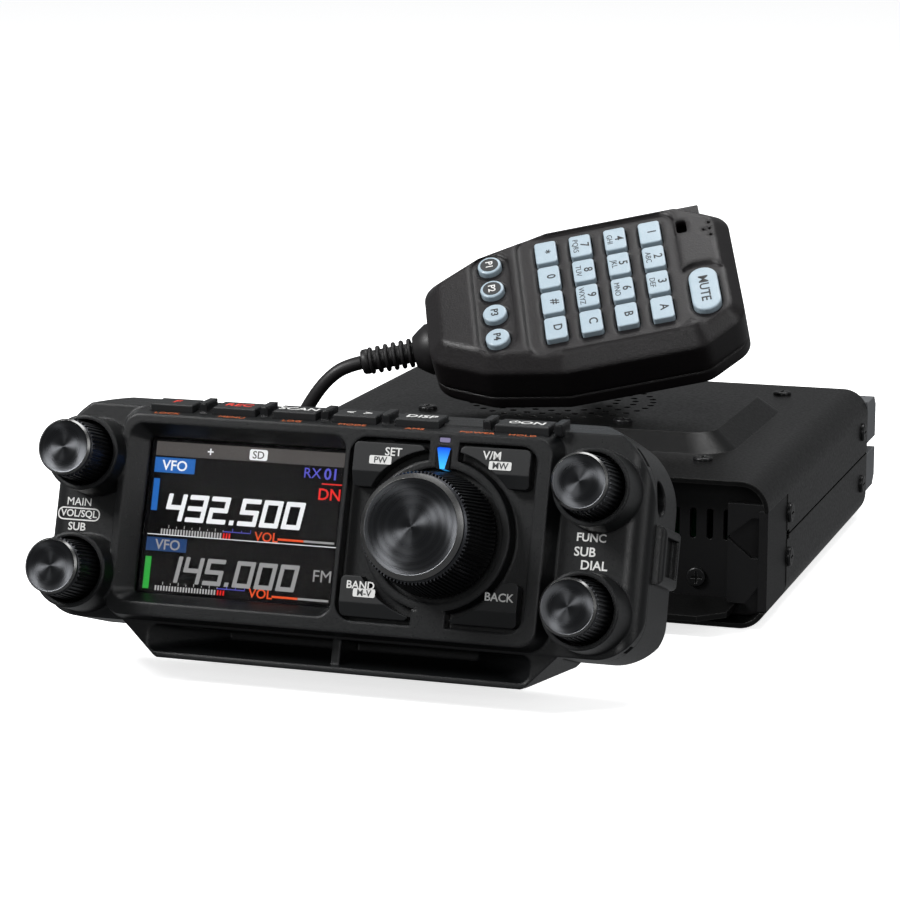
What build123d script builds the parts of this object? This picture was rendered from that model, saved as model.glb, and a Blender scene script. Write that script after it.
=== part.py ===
from build123d import *
import math
import os

# A dual-band mobile transceiver: a sheet-metal radio body, a tilted control head on a
# bracket in front of it, and a hand microphone that lies on the body's top cover.
# Millimetres. +X right, -Y towards the operator, +Z up.
# The origin is the middle of the radio body's underside.

os.makedirs("parts", exist_ok=True)

# ---------------------------------------------------------------- driving dimensions
body_width = 139.0
body_depth = 132.0
body_height = 36.7
body_corner = 7.0
cover_wall = 1.2
seam_height = 18.8
seam_gap = 0.6
plate_setback = 8.0
dome_rise = 4.4
dome_slope = 5.5
heatsink_reach = 12.5
screw_head_radius = 2.5
screw_head_height = 0.9
screw_shank_radius = 1.3

head_width = 143.0
head_depth = 25.0
head_tilt = 18.4
head_offset = -12.0
head_reach = 80.2
head_face_height = 37.27
case_wall = 2.2
case_split = 5.5
case_round = 5.0
case_corner = 10.0
case_shoulder = 18.0
face_bottom = -24.5
face_top = 25.2
rim_depth = 4.5

display_width = 46.6
display_height = 34.4
display_left = -46.6

dial_centre = (24.6, -0.2)
dial_radius = 14.6
dial_reach = 22.9
dial_taper = 2.0
collar_radius = 17.5
knob_radius = 7.3
knob_reach = 20.0
knob_taper = 0.9
knob_spacing = 60.3
knob_rows = (12.4, -14.6)
boss_radius = 8.7
boss_gap = 0.4
boss_reach = 9.6
shaft_radius = 3.0
shaft_clearance = 0.05

key_clearance = 0.3
pad_travel = 0.8
stem_radius = 1.5

mic_origin = (11.0, -5.0, body_height + 38.3)
mic_x_axis = (0.947, 0.251, 0.200)
mic_normal = (-0.012, -0.594, 0.804)
mic_half_width = 27.0
mic_seam = 13.0
mic_depth = 24.0
mic_wall = 2.0
mic_key_pitch_x = 9.4
mic_key_pitch_y = 9.8
mic_key_size = (5.8, 8.2)
mic_key_rise = 1.5
stud_radius = 8.0
stud_neck_radius = 4.5
stud_reach = 9.0

cord_diameter = 3.8
cord_radius = cord_diameter / 2
coil_radius = 21.0
coil_centre = (-106.0, 6.0)

# ---------------------------------------------------------------- derived places
body_front = -body_depth / 2
body_rear = body_depth / 2
plate_front = body_front + plate_setback
head_face_y = body_front - head_reach
tilt = math.radians(head_tilt)

head_place = Pos(head_offset, head_face_y, head_face_height) * Rot(-head_tilt, 0, 0)
mic_place = Plane(origin=mic_origin, x_dir=mic_x_axis, z_dir=mic_normal).location


def save(shape, name):
    export_step(shape, "parts/" + name + ".step")


def place_and_save(location, shape, name):
    save(location * shape, name)


def group(solids):
    return Compound(children=list(solids))


# ---------------------------------------------------------------- helpers in a facing frame
# The head is drawn upright with its face towards -Y: x across, y into the head, z up.
def facing(depth):
    return Plane(origin=(0, depth, 0), x_dir=(1, 0, 0), z_dir=(0, -1, 0))


def slab(width, height, corner, back, front, at=(0, 0)):
    outline = RectangleRounded(width, height, corner)
    return extrude(facing(back) * Pos(at[0], at[1]) * outline, back - front)


def disc(radius, back, front, at=(0, 0)):
    return extrude(facing(back) * Pos(at[0], at[1]) * Circle(radius), back - front)


def cone(back_radius, front_radius, back, front, at=(0, 0)):
    rear = facing(back) * Pos(at[0], at[1]) * Circle(back_radius)
    near = facing(front) * Pos(at[0], at[1]) * Circle(front_radius)
    return loft([rear, near])


def funnel(back_size, front_size, back_corner, front_corner, back, front, back_at, front_at):
    rear = facing(back) * Pos(back_at[0], back_at[1]) * RectangleRounded(*back_size, back_corner)
    near = facing(front) * Pos(front_at[0], front_at[1]) * RectangleRounded(*front_size, front_corner)
    return loft([rear, near])


def polygon_slab(points, back, front):
    return extrude(facing(back) * make_face(Polyline(*points, close=True)), back - front)


def block(x_range, y_range, z_range):
    centre = [(r[0] + r[1]) / 2 for r in (x_range, y_range, z_range)]
    size = [r[1] - r[0] for r in (x_range, y_range, z_range)]
    return Pos(*centre) * Box(*size)


# ---------------------------------------------------------------- radio body
def body_tube(inset, front, rear):
    outline = RectangleRounded(body_width - 2 * inset, body_height - 2 * inset, body_corner - inset)
    middle = Plane(origin=(0, rear, body_height / 2), x_dir=(1, 0, 0), z_dir=(0, -1, 0))
    return extrude(middle * outline, rear - front)


dome_size = (105.0, 71.0)
dome_centre = (0.0, -1.5)
perforation_radius = 0.95
perforation_pitch = 4.4
perforation_rings = (24.4, 19.6, 14.8)
perforation_centre = (-1.8, 1.4)
top_screws = [(47.7, -43.5), (-47.7, -43.5), (47.7, 52.0), (-47.7, 52.0)]
dome_screws = [(21.4, -22.8), (-32.5, -21.2)]
side_screws = [(-41.0, 24.2), (-41.0, 12.9), (58.0, 26.1), (58.0, 11.3)]
cheek_depth = 23.0
cheek_top = 29.5
square_hole = 2.4


def dome(shrink, drop):
    low = Plane.XY.offset(body_height - drop) * Pos(*dome_centre)
    high = Plane.XY.offset(body_height + dome_rise - drop) * Pos(*dome_centre)
    wide = RectangleRounded(dome_size[0] - 2 * shrink, dome_size[1] - 2 * shrink, 10)
    narrow = RectangleRounded(
        dome_size[0] - 2 * shrink - 2 * dome_slope, dome_size[1] - 2 * shrink - 2 * dome_slope, 7
    )
    return loft([low * wide, high * narrow])


def perforations():
    holes = []
    for ring in perforation_rings:
        count = round(2 * math.pi * ring / perforation_pitch)
        for step in range(count):
            turn = 2 * math.pi * step / count
            spoke = Pos(ring * math.cos(turn), ring * math.sin(turn), 0)
            place = Pos(*perforation_centre, body_height) * spoke
            holes.append(place * Cylinder(perforation_radius, 4 * dome_rise))
    return holes


def side_screw_holes():
    holes = []
    for side in (-1, 1):
        for y, z in side_screws:
            turned = Pos(side * body_width / 2, y, z) * Rot(0, 90, 0)
            holes.append(turned * Cylinder(screw_shank_radius + 0.1, 4 * cover_wall))
    return holes


def cover_shell():
    return body_tube(0, body_front, body_rear) - body_tube(cover_wall, body_front - 1, body_rear + 1)


def seam_slot():
    slot = block((-body_width, body_width), (body_front + cheek_depth, body_rear + 1),
                 (seam_height - seam_gap / 2, seam_height + seam_gap / 2))
    window = block((-body_width, body_width),
                   (body_front + cheek_depth, body_front + cheek_depth + square_hole),
                   (seam_height - square_hole / 2, seam_height + square_hole / 2))
    return slot + window


def cheek_space():
    low = cover_wall + 3.0
    return [
        block((side * body_width / 2 - 2, side * body_width / 2 + 2),
              (body_front - 1, body_front + cheek_depth), (low, cheek_top))
        for side in (-1, 1)
    ]


def top_cover():
    upper = block((-body_width, body_width), (body_front - 1, body_rear + 1),
                  (seam_height, body_height + 1))
    shell = cover_shell() & upper
    shell += dome(0, 0)
    shell -= dome(cover_wall, cover_wall)
    shell -= seam_slot()
    for space in cheek_space():
        shell -= space
    for x, y in top_screws:
        shell -= Pos(x, y, body_height) * Cylinder(screw_shank_radius + 0.1, 4 * cover_wall)
    for x, y in dome_screws:
        shell -= Pos(x, y, body_height + dome_rise) * Cylinder(screw_shank_radius + 0.1, 4 * cover_wall)
    for hole in side_screw_holes() + perforations():
        shell -= hole
    return shell


def bottom_cover():
    lower = block((-body_width, body_width), (body_front - 1, body_rear + 1), (-1, seam_height))
    shell = cover_shell() & lower
    shell -= seam_slot()
    for space in cheek_space():
        shell -= space
    for hole in side_screw_holes():
        shell -= hole
    return shell


# The die-cast chassis: rear heat sink, front plate, cheeks and a floor tray.
vent_width = 1.6
vent_height = 7.6
vent_pitch = 4.25
vent_right = 57.4
vent_middle = 23.8
front_screw_at = (50.0, 10.2)
fin_width = 2.6
fin_pitch = 6.0
fan_size = 31.0
fan_depth = 9.5
fan_bore = 13.9
socket_at = (44.0, 16.5)
socket_radius = 7.9
socket_length = 15.0
speaker_jack_at = (-36.0, 12.0)
speaker_jack_radius = 1.8
speaker_jack_depth = 12.0
tray_clearance = 0.15
jack_block_at = (-44.0, 14.0)


def cheek(side):
    inner = side * (body_width / 2 - 2 * cover_wall)
    outer = side * (body_width / 2 - 0.2)
    low = cover_wall + 3.0 + tray_clearance
    return block(sorted((inner, outer)), (body_front + 0.4, body_front + cheek_depth - 0.15),
                 (low, cheek_top - 0.15))


def front_plate():
    half = body_width / 2 - cover_wall - tray_clearance
    plate = body_tube(cover_wall + tray_clearance, plate_front, plate_front + 1.5)
    for step in range(9):
        x = vent_right - step * vent_pitch
        slot = slab(vent_width, vent_height, vent_width * 0.45, plate_front + 3, plate_front - 1,
                    (x, vent_middle))
        plate -= slot
    tabs = block((half - 9.0, half), (body_front + 1.2, body_front + 2.4), (6.0, 31.0))
    corner = [(half - 9.1, 22.5), (half - 3.0, 17.5), (half + 0.1, 17.5), (half + 0.1, 27.5),
              (half - 3.0, 27.5)]
    tabs -= polygon_slab(corner, body_front + 4, body_front)
    foot = [(half - 4.5, 5.9), (half + 0.1, 5.9), (half + 0.1, 12.0)]
    tabs -= polygon_slab(foot, body_front + 4, body_front)
    link = block((half - 1.2, half), (body_front + 1.2, plate_front + 0.5), (8.0, 16.0))
    plate += tabs + link
    plate -= disc(screw_shank_radius, plate_front + 3, plate_front - 1, front_screw_at)
    plate -= slab(10.2, 8.2, 0.6, plate_front + 3, plate_front - 1, jack_block_at)
    return plate


def heat_sink():
    root = body_tube(cover_wall + tray_clearance, body_rear - 26.0, body_rear)
    fins = block((-body_width / 2, body_width / 2), (body_rear, body_rear + heatsink_reach), (7.6, 33.2))
    fins -= block((-body_width, body_width), (body_rear + 0.15, body_rear + 20), (18.2, 21.4))
    count = 22
    for step in range(count):
        x = (step - (count - 1) / 2) * fin_pitch
        if abs(x) < body_width / 2 - 3.0:
            fins -= block((x - (fin_pitch - fin_width) / 2, x + (fin_pitch - fin_width) / 2),
                          (body_rear + 2.5, body_rear + 20), (0, body_height))
    for edge, drop in ((7.6, 1), (33.2, -1)):
        nick = Rot(45, 0, 0) * Box(2 * body_width, 3.6, 3.6)
        fins -= Pos(0, body_rear + heatsink_reach, edge) * nick
    sink = root + fins
    sink -= block((-fan_size / 2 - 0.3, fan_size / 2 + 0.3), (body_rear - 0.3, body_rear + 20),
                  (0, body_height))
    sink -= Pos(0, body_rear - 6, body_height / 2) * Rot(90, 0, 0) * Cylinder(fan_bore, 60)
    sink -= block((socket_at[0] - 13, socket_at[0] + 13), (body_rear + 0.2, body_rear + 20), (0, body_height))
    sink -= block((speaker_jack_at[0] - 7, speaker_jack_at[0] + 7), (body_rear, body_rear + 20),
                  (0, body_height))
    sink -= disc(speaker_jack_radius, body_rear + 1, body_rear - speaker_jack_depth, speaker_jack_at)
    sink -= disc(socket_radius - 2.0 + 0.1, body_rear + 1, body_rear - 8, socket_at)
    return sink


board_height = 9.0
board_size = (112.0, 84.0, 1.6)
board_centre = (0.0, -8.0)


def body_chassis():
    half = body_width / 2 - cover_wall - tray_clearance
    floor = block((-half + 6, half - 6), (plate_front + 1.0, body_rear - 25.0),
                  (cover_wall + tray_clearance, cover_wall + tray_clearance + 2.0))
    chassis = floor + front_plate() + heat_sink()
    for side in (-1, 1):
        rail_x = sorted((side * (half - 1.6), side * half))
        chassis += block(rail_x, (plate_front + 0.5, body_rear - 25.0), (8.0, 17.0))
        chassis += cheek(side)
        chassis += block(sorted((side * (half - 2.0), side * (half + 0.9))),
                         (plate_front, body_front + cheek_depth - 0.5), (9.0, 16.0))
    for x in (-50.0, 50.0):
        for y in (-42.0, 26.0):
            post = Pos(x, y, (board_height + cover_wall) / 2 + 0.5)
            chassis += post * Cylinder(3.0, board_height - cover_wall - 1.0)
    for hole in side_screw_holes():
        chassis -= hole
    for x, y in top_screws:
        chassis -= Pos(x, y, body_height) * Cylinder(screw_shank_radius, 8 * cover_wall)
    return chassis


def body_circuit_board():
    board = Pos(board_centre[0], board_centre[1], board_height + board_size[2] / 2) * Box(*board_size)
    top = board_height + board_size[2]
    power_module = block((-30, 30), (8, 30), (top - 0.1, top + 9))
    shield_can = block((-46, -6), (-40, -8), (top - 0.1, top + 5))
    relay = block((10, 24), (-40, -22), (top - 0.1, top + 12))
    capacitor = Pos(40, -30, top + 6) * Cylinder(6, 12.2)
    return board + power_module + shield_can + relay + capacitor


def pan_screw(length):
    head = Pos(0, 0, screw_head_height / 2) * Cylinder(screw_head_radius, screw_head_height)
    head = fillet(head.edges().filter_by(GeomType.CIRCLE).sort_by(Axis.Z)[-1], 0.5)
    shank = Pos(0, 0, -length / 2 + 0.05) * Cylinder(screw_shank_radius - 0.05, length + 0.1)
    cross = Pos(0, 0, screw_head_height) * (Box(3.0, 0.6, 0.9) + Box(0.6, 3.0, 0.9))
    return head + shank - cross


def body_screws():
    screws = [Pos(x, y, body_height) * pan_screw(3.0) for x, y in top_screws]
    screws += [Pos(x, y, body_height + dome_rise) * pan_screw(3.0) for x, y in dome_screws]
    for side in (-1, 1):
        for y, z in side_screws:
            screws.append(Pos(side * body_width / 2, y, z) * Rot(0, 90 * side, 0) * pan_screw(2.2))
    front = Pos(front_screw_at[0], plate_front, front_screw_at[1]) * Rot(90, 0, 0)
    screws.append(front * pan_screw(3.0))
    for x, z in bracket_screws:
        screws.append(head_place * Pos(x, head_depth + bracket_plate, z) * Rot(-90, 0, 0) * pan_screw(3.0))
    return group(screws)


def fan_frame():
    middle = (0, body_height / 2)
    rear = body_rear + fan_depth
    frame = slab(fan_size, fan_size, 2.5, rear, body_rear - 0.2, middle)
    frame -= disc(fan_bore, rear + 1, body_rear - 1, middle)
    hub = disc(6.0, rear, rear - 1.6, middle)
    for turn in range(4):
        arm = block((-1.0, 1.0), (rear - 1.6, rear), (5.0, fan_bore + 0.5))
        hub += Pos(0, 0, middle[1]) * Rot(0, 90 * turn + 45, 0) * arm
    pin = disc(1.2, rear - 1.5, body_rear + 1.0, middle)
    return frame + hub + pin


def fan_rotor():
    middle = (0, body_height / 2)
    rear = body_rear + fan_depth - 2.2
    near = body_rear + 0.4
    rotor = disc(6.0, rear, near, middle)
    for step in range(7):
        blade = Pos(0, (rear + near) / 2, 9.4) * Rot(0, 0, 32) * Box(0.9, 6.2, 7.4)
        rotor += Pos(0, 0, middle[1]) * Rot(0, step * 360 / 7, 0) * blade
    return rotor - disc(1.25, rear + 1, near - 1, middle)


def antenna_socket():
    rear = body_rear + 0.2
    flange = slab(18.0, 18.0, 2.0, rear + 1.8, rear, socket_at)
    barrel = disc(socket_radius, rear + socket_length, rear + 1.7, socket_at)
    bore = disc(5.6, rear + socket_length + 1, rear + 5, socket_at)
    pin = disc(1.9, rear + socket_length - 1, rear + 4, socket_at)
    neck = disc(socket_radius - 2.0, rear + 0.1, rear - 6, socket_at)
    return flange + barrel + neck - bore + pin


# ---------------------------------------------------------------- head bracket
bracket_plate = 1.4
bracket_low = 4.2
bracket_reach = 12.8
bracket_screws = ((-30.0, -8.0), (30.0, -8.0))


def head_bracket():
    half = 61.0
    fold_height = bracket_low - head_face_height
    fold = (fold_height + (head_depth + bracket_plate / 2) * math.sin(tilt)) / math.cos(tilt)
    bend_y = head_face_y + (head_depth + bracket_plate / 2) * math.cos(tilt) + fold * math.sin(tilt)
    base = [(-half, plate_front - 0.1), (half, plate_front - 0.1), (half, body_front - bracket_reach + 6),
            (half - 6, body_front - bracket_reach), (26, body_front - bracket_reach), (26, bend_y),
            (-50, bend_y), (-50, body_front - bracket_reach), (-half, body_front - bracket_reach)]
    plane = Plane.XY.offset(bracket_low)
    plate = extrude(plane * make_face(Polyline(*base, close=True)), bracket_plate)
    riser_top = 8.0
    riser = block((-38, 38), (head_depth, head_depth + bracket_plate), (fold, riser_top))
    riser -= block((-12, 12), (head_depth - 1, head_depth + 5), (-13.0, 1.0))
    for at in bracket_screws:
        riser -= disc(screw_shank_radius, head_depth + 5, head_depth - 1, at)
    return plate + head_place * riser


# ---------------------------------------------------------------- control head
# Side view of the whole case, (depth, height): the key deck is level once the head is tilted.
key_deck_depth = 9.0
deck_rear = face_top + (key_deck_depth - 0.5) * math.tan(tilt)
case_profile = [(0.5, face_bottom), (0.5, face_top), (key_deck_depth, deck_rear),
                (head_depth, face_top - 1.5), (head_depth, face_bottom + 5.0), (head_depth - 5.0, face_bottom)]
block_left = -53.0
block_right = 49.5
chin_top = face_bottom + 1.5
chin_bottom = -32.6
pad_floor = -1.0
pad_front = -5.6
sensor_at = (24.6, 21.1)
lens_at = (24.6, 17.0)
guide_at = (24.6, 19.0)
key_row = (-42.6, -27.2, -12.5, 2.0, 16.9, 41.3)
post_row = (-34.8, -19.9, -5.2, 9.4, 33.2, 49.7)
key_widths = (10.2, 10.2, 10.2, 10.2, 10.2, 12.4)
key_length = 7.0
key_y = head_face_y + 9.3
key_rise = 1.3
key_pocket = 4.0
head_top = head_face_height + math.cos(tilt) * face_top - math.sin(tilt) * 0.5
top_key_travel = 0.8


def side_prism(points, half):
    plane = Plane(origin=(-half, 0, 0), x_dir=(0, 1, 0), z_dir=(1, 0, 0))
    return extrude(plane * make_face(Polyline(*points, close=True)), 2 * half)


# Seen from the front, the head's shoulders are rounder than its lower corners.
def head_outline(inset):
    width = head_width - 2 * inset
    low = face_bottom + inset
    high = deck_rear + 0.4 - inset
    below = slab(width, 80, case_corner - inset, 60, -40, (0, low + 40))
    above = slab(width, 80, case_shoulder - inset, 60, -40, (0, high - 40))
    return below & above


def case_outer():
    prism = side_prism(case_profile, head_width / 2)
    along = prism.edges().filter_by(lambda e: abs(e.center().X) > head_width / 2 - 0.1)
    front = [e for e in along if e.center().Y < 1.0]
    top = [e for e in along if e.center().Z > face_top - 1.0 and e.center().Y > 1.0]
    bottom = [e for e in along if e.center().Z < face_bottom + 1.0 and e.center().Y > 1.0]
    return fillet(front + top + bottom, case_round) & head_outline(0)


def case_inner():
    wall = case_wall
    profile = [(0.5 + wall, face_bottom + wall), (0.5 + wall, face_top + wall * math.tan(tilt) - wall),
               (key_deck_depth - 0.6, deck_rear - wall - 0.4), (head_depth - wall, face_top - 1.5 - wall),
               (head_depth - wall, face_bottom + 5.0), (head_depth - 5.0, face_bottom + wall)]
    prism = side_prism(profile, head_width / 2 - wall)
    rim = [e for e in prism.edges() if abs(e.center().X) > head_width / 2 - wall - 0.1 and e.center().Y > 4.0
           and e.center().Y < head_depth - wall - 0.1]
    return fillet(rim, case_round - wall) & head_outline(wall)


def front_half():
    return block((-head_width, head_width), (-40, case_split), (-60, 60))


def rear_half():
    return block((-head_width, head_width), (case_split, 60), (-60, 60))


def central_block():
    middle = (block_left + block_right) / 2
    width = block_right - block_left
    top_front = 22.8
    bottom_front = -23.4
    front_size = (width, top_front - bottom_front)
    back_top = face_top - 0.1
    back_bottom = face_bottom + 0.2
    back_size = (width + 4.0, back_top - back_bottom)
    return funnel(back_size, front_size, 5.0, 4.0, 1.0, -rim_depth,
                  (middle, (back_top + back_bottom) / 2), (middle, (top_front + bottom_front) / 2))


def screen_recess():
    right = display_left + display_width
    front_box = (display_left - 5.0, right + 1.6)
    back_box = (display_left - 0.4, right + 0.4)
    front_size = (front_box[1] - front_box[0], display_height + 7.0)
    back_size = (back_box[1] - back_box[0], display_height + 0.8)
    return funnel(back_size, front_size, 0.8, 3.5, 0.2, -rim_depth - 0.2,
                  (sum(back_box) / 2, 0), (sum(front_box) / 2, 0.2))


def pad_recess():
    left = 2.6
    right = 46.4
    outline = slab(right - left, 41.4, 4.0, pad_floor, -rim_depth - 2, ((left + right) / 2, 0.1))
    outline -= block((sensor_at[0] - 3.4, sensor_at[0] + 3.4), (-20, 10), (15.0, 30.0))
    outline -= block((sensor_at[0] - 4.0, sensor_at[0] + 4.0), (-20, 10), (-30.0, -17.0))
    collar = cone(collar_radius, collar_radius - 0.6, pad_floor + 0.1, -5.2, dial_centre)
    return outline - collar


# The chin carries the sound horn below the face: its underside is level once the head is tilted.
chin_depth = 21.0
chin_wall = 1.5
horn_depth = 14.0


def chin():
    outline = [(-52.0, chin_top), (55.0, chin_top), (46.0, chin_bottom), (-41.0, chin_bottom)]
    lower = polygon_slab(outline, chin_depth, 0.8)
    sides = [e for e in lower.edges() if e.center().Z < chin_bottom + 0.1 and abs(e.center().X - 2.5) > 30]
    lower = fillet(sides, 4.0)
    under = [(0, chin_bottom), (60, chin_bottom + 60 * math.tan(tilt)), (60, chin_bottom - 60),
             (0, chin_bottom - 60)]
    lower -= side_prism(under, head_width)
    rise = horn_depth * math.tan(tilt)
    front_low = chin_bottom + chin_wall
    front_high = face_bottom - 0.2
    back_low = front_low + rise
    back_high = front_high + 0.4
    mouth = funnel((60, back_high - back_low), (92, front_high - front_low), 0.8, 2.2, horn_depth, 0.6,
                   (1.5, (back_high + back_low) / 2), (2.0, (front_high + front_low) / 2))
    rib = block((0.6, 2.6), (2.5, horn_depth), (chin_bottom, chin_top)) & lower
    return lower - mouth + rib - (case_outer() & rear_half())


def knob_places():
    return [(side * knob_spacing, row) for row in knob_rows for side in (-1, 1)]


# Pads beside the dial: name, x range and z range of each before the dial's clearance is cut.
pad_edges = {
    "pad_upper_left": ((3.9, 20.4), (9.6, 19.5)),
    "pad_upper_right": ((28.8, 45.0), (11.2, 19.9)),
    "pad_lower_left": ((3.9, 19.9), (-19.6, -10.6)),
    "pad_lower_right": ((29.3, 45.0), (-19.4, -9.6)),
}


def stem_at(name):
    x_range, z_range = pad_edges[name]
    outward_x = 7.0 if x_range[0] < dial_centre[0] else x_range[1] - 3.2
    outward_z = 15.4 if z_range[0] > 0 else -15.6
    return (outward_x, outward_z)


def head_front_case():
    case = (case_outer() - case_inner()) & front_half()
    case += central_block()
    for at in knob_places():
        case += cone(boss_radius + 0.4, boss_radius, 2.4, -boss_reach, at)
    case -= block((-head_width / 2 + case_wall, head_width / 2 - case_wall), (0.5 + case_wall, 40),
                  (face_bottom + case_wall, face_top - case_wall))
    case -= screen_recess()
    case -= pad_recess()
    for at in knob_places():
        case -= disc(knob_radius + boss_gap, pad_floor, -boss_reach - 1, at)
        case -= disc(3.6 + 0.3, 6, -2, at)
    case -= disc(dial_radius + 0.6, pad_floor - 0.6, -boss_reach - 1, dial_centre)
    case -= disc(4.6 + 0.3, 6, -3, dial_centre)
    seat = display_width + 2.4
    case -= slab(seat, display_height + 2.4, 0.8, 6, -0.4, (display_left + display_width / 2, 0))
    case -= slab(2.6, 1.2, 0.3, 6, -rim_depth - 1, sensor_at)
    case -= slab(3.4, 5.0, 0.6, 6, -rim_depth - 1, lens_at)
    case -= slab(3.6, 7.0, 0.6, 6, pad_floor + 1.2, guide_at)
    for name in pad_edges:
        case -= disc(stem_radius + key_clearance, 6, -3, stem_at(name))
    case += chin()
    case = head_place * case
    half_y = key_length / 2 + key_clearance
    for x, width in zip(key_row, key_widths):
        middle = head_offset + x
        half_x = width / 2 + key_clearance
        case -= block((middle - half_x, middle + half_x), (key_y - half_y, key_y + half_y),
                      (head_top - key_pocket, head_top + 2))
    for x in post_row:
        case += block((head_offset + x - 0.9, head_offset + x + 0.9), (key_y - 3.4, key_y + 3.0),
                      (head_top - 0.6, head_top + 2.0))
    return case


port_at = (15.5, 0.0)
jack_at = (10.2, 12.6)
jack_radius = 4.1


def head_rear_case():
    case = (case_outer() - case_inner()) & rear_half()
    side = head_width / 2
    hole_y = (port_at[0] - 5.6, port_at[0] + 5.6)
    hole_z = (port_at[1] - 4.4, port_at[1] + 4.4)
    frame = block((side - 1.0, side + 2.2), (port_at[0] - 8, port_at[0] + 8),
                  (port_at[1] - 6.6, port_at[1] + 6.6))
    edges = [e for e in frame.edges() if abs(e.center().X - side - 2.2) < 0.1]
    frame = fillet(edges, 1.6)
    frame -= block((side - 5.0, side + 5.0), hole_y, hole_z)
    case += frame
    case -= block((side - 5.0, side + 1.0), hole_y, hole_z)
    cover = block((side - case_wall, side + 0.6), (port_at[0] - 5.65, port_at[0] + 5.65),
                  (port_at[1] - 4.45, port_at[1] + 4.45))
    cover -= block((side - 0.4, side + 2.0), (port_at[0] - 0.7, port_at[0] + 0.7),
                   (port_at[1] - 3.2, port_at[1] + 3.2))
    case += cover
    case -= Pos(side - 1, jack_at[0], jack_at[1]) * Rot(0, 90, 0) * Cylinder(jack_radius, 8)
    for at in bracket_screws:
        case -= disc(screw_shank_radius, head_depth + 1, head_depth - 4, at)
    return case


window_thickness = 1.0


def display_window():
    middle = display_left + display_width / 2
    return slab(display_width + 2.0, display_height + 2.0, 0.8, window_thickness - 0.4, -0.4, (middle, 0))


def display_module():
    middle = display_left + display_width / 2
    back = window_thickness - 0.4
    panel = slab(display_width + 1.8, display_height + 1.6, 0.6, back + 2.6, back, (middle, 0))
    carrier = slab(display_width + 5.4, display_height + 5.6, 0.8, back + 5.2, back + 2.5, (middle, 0))
    return panel + carrier


def status_lens():
    lens = slab(3.2, 4.8, 0.5, pad_floor + 1.5, -rim_depth - 0.3, lens_at)
    sensor = slab(2.4, 1.0, 0.25, pad_floor + 1.5, -rim_depth - 0.1, sensor_at)
    guide = slab(3.2, 6.4, 0.5, pad_floor + 3.0, pad_floor + 1.4, guide_at)
    return lens + sensor + guide


head_board_front = 9.2
head_board_thickness = 1.6
encoder_front = 0.5 + case_wall + 0.1


def head_circuit_board():
    front = head_board_front
    board = slab(head_width - 9.0, 40.0, 8.0, front + head_board_thickness, front, (0, 0))
    for at in knob_places():
        board += slab(11.6, 11.6, 0.8, front + 0.1, encoder_front, at)
        board += disc(3.6, encoder_front + 0.1, pad_floor - 0.2, at)
        board -= disc(shaft_radius + shaft_clearance, front, pad_floor - 2, at)
    board += slab(14.0, 14.0, 0.8, front + 0.1, encoder_front, dial_centre)
    board += disc(4.6, encoder_front + 0.1, pad_floor - 1.2, dial_centre)
    board -= disc(shaft_radius + shaft_clearance, front, pad_floor - 4, dial_centre)
    for name in pad_edges:
        board += slab(4.6, 4.6, 0.5, front + 0.1, front - 1.3, stem_at(name))
    return board


def loudspeaker():
    middle = (-8.0, 2.0)
    back = head_depth - case_wall - 0.3
    cone_ring = disc(20.0, back - 6.0, back - 11.0, middle)
    magnet = disc(10.0, back, back - 6.1, middle)
    basket = cone(12.0, 20.0, back - 3.0, back - 6.1, middle)
    dish = cone(7.0, 17.0, back - 7.2, back - 11.1, middle)
    return cone_ring + basket + magnet - dish


def knob(radius, taper, reach, at, base):
    skirt = cone(radius, radius - taper, base, -reach + 1.2, at)
    cap = cone(radius - taper, radius - taper - 0.9, -reach + 1.21, -reach, at)
    shaft = disc(shaft_radius, head_board_front - 4.0, base - 1.0, at)
    return skirt + cap + shaft


def pad(name):
    x_range, z_range = pad_edges[name]
    middle = (sum(x_range) / 2, sum(z_range) / 2)
    width = x_range[1] - x_range[0]
    height = z_range[1] - z_range[0]
    shape = slab(width, height, 1.2, pad_floor - pad_travel - 0.1, pad_front, middle)
    shape -= disc(collar_radius + 1.6, 5, -20, dial_centre)
    low = z_range[0] + height * 0.34
    facet = Pos(middle[0], pad_front, low) * Rot(24, 0, 0) * Pos(0, -10, -30) * Box(60, 20, 60)
    shape -= facet
    stem_end = head_board_front - 1.3 - pad_travel - 0.2
    return shape + disc(stem_radius, stem_end, pad_floor - pad_travel - 0.2, stem_at(name))


def top_key(x, width):
    low = head_top - key_pocket + top_key_travel + 0.3
    body = block((head_offset + x - width / 2, head_offset + x + width / 2),
                 (key_y - key_length / 2, key_y + key_length / 2), (low, head_top + key_rise))
    return fillet(body.faces().sort_by(Axis.Z)[-1].edges(), 0.4)


# ---------------------------------------------------------------- microphone
# Drawn face up: x towards the top end, y towards the push-to-talk side, z out of the face.
mic_outline = [(-48.5, 13.5), (-34.0, 22.0), (-14.0, 27.0), (23.0, 27.0), (35.0, 19.0)]
mic_corner = 7.0
mic_shoulder = 4.2
mic_back_bevel = 7.0


def mic_sketch(inset, z):
    side = [(x, y) for x, y in mic_outline]
    points = side + [(x, -y) for x, y in reversed(side)]
    face = make_face(Polyline(*points, close=True))
    face = fillet(face.vertices(), mic_corner)
    if inset:
        face = offset(face, -inset)
    return Plane.XY.offset(z) * face


# The grip thins towards the cord: its back rises by this much for each millimetre.
grip_slope = 0.195
grip_start = -8.0


def grip_taper(inset):
    low = -mic_depth + inset * math.hypot(1, grip_slope)
    outline = [(20, low + (grip_start - 20) * grip_slope), (-60, low + (grip_start + 60) * grip_slope),
               (-60, -60), (20, -60)]
    return extrude(Plane.XZ * make_face(Polyline(*outline, close=True)), 60, both=True)


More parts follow.
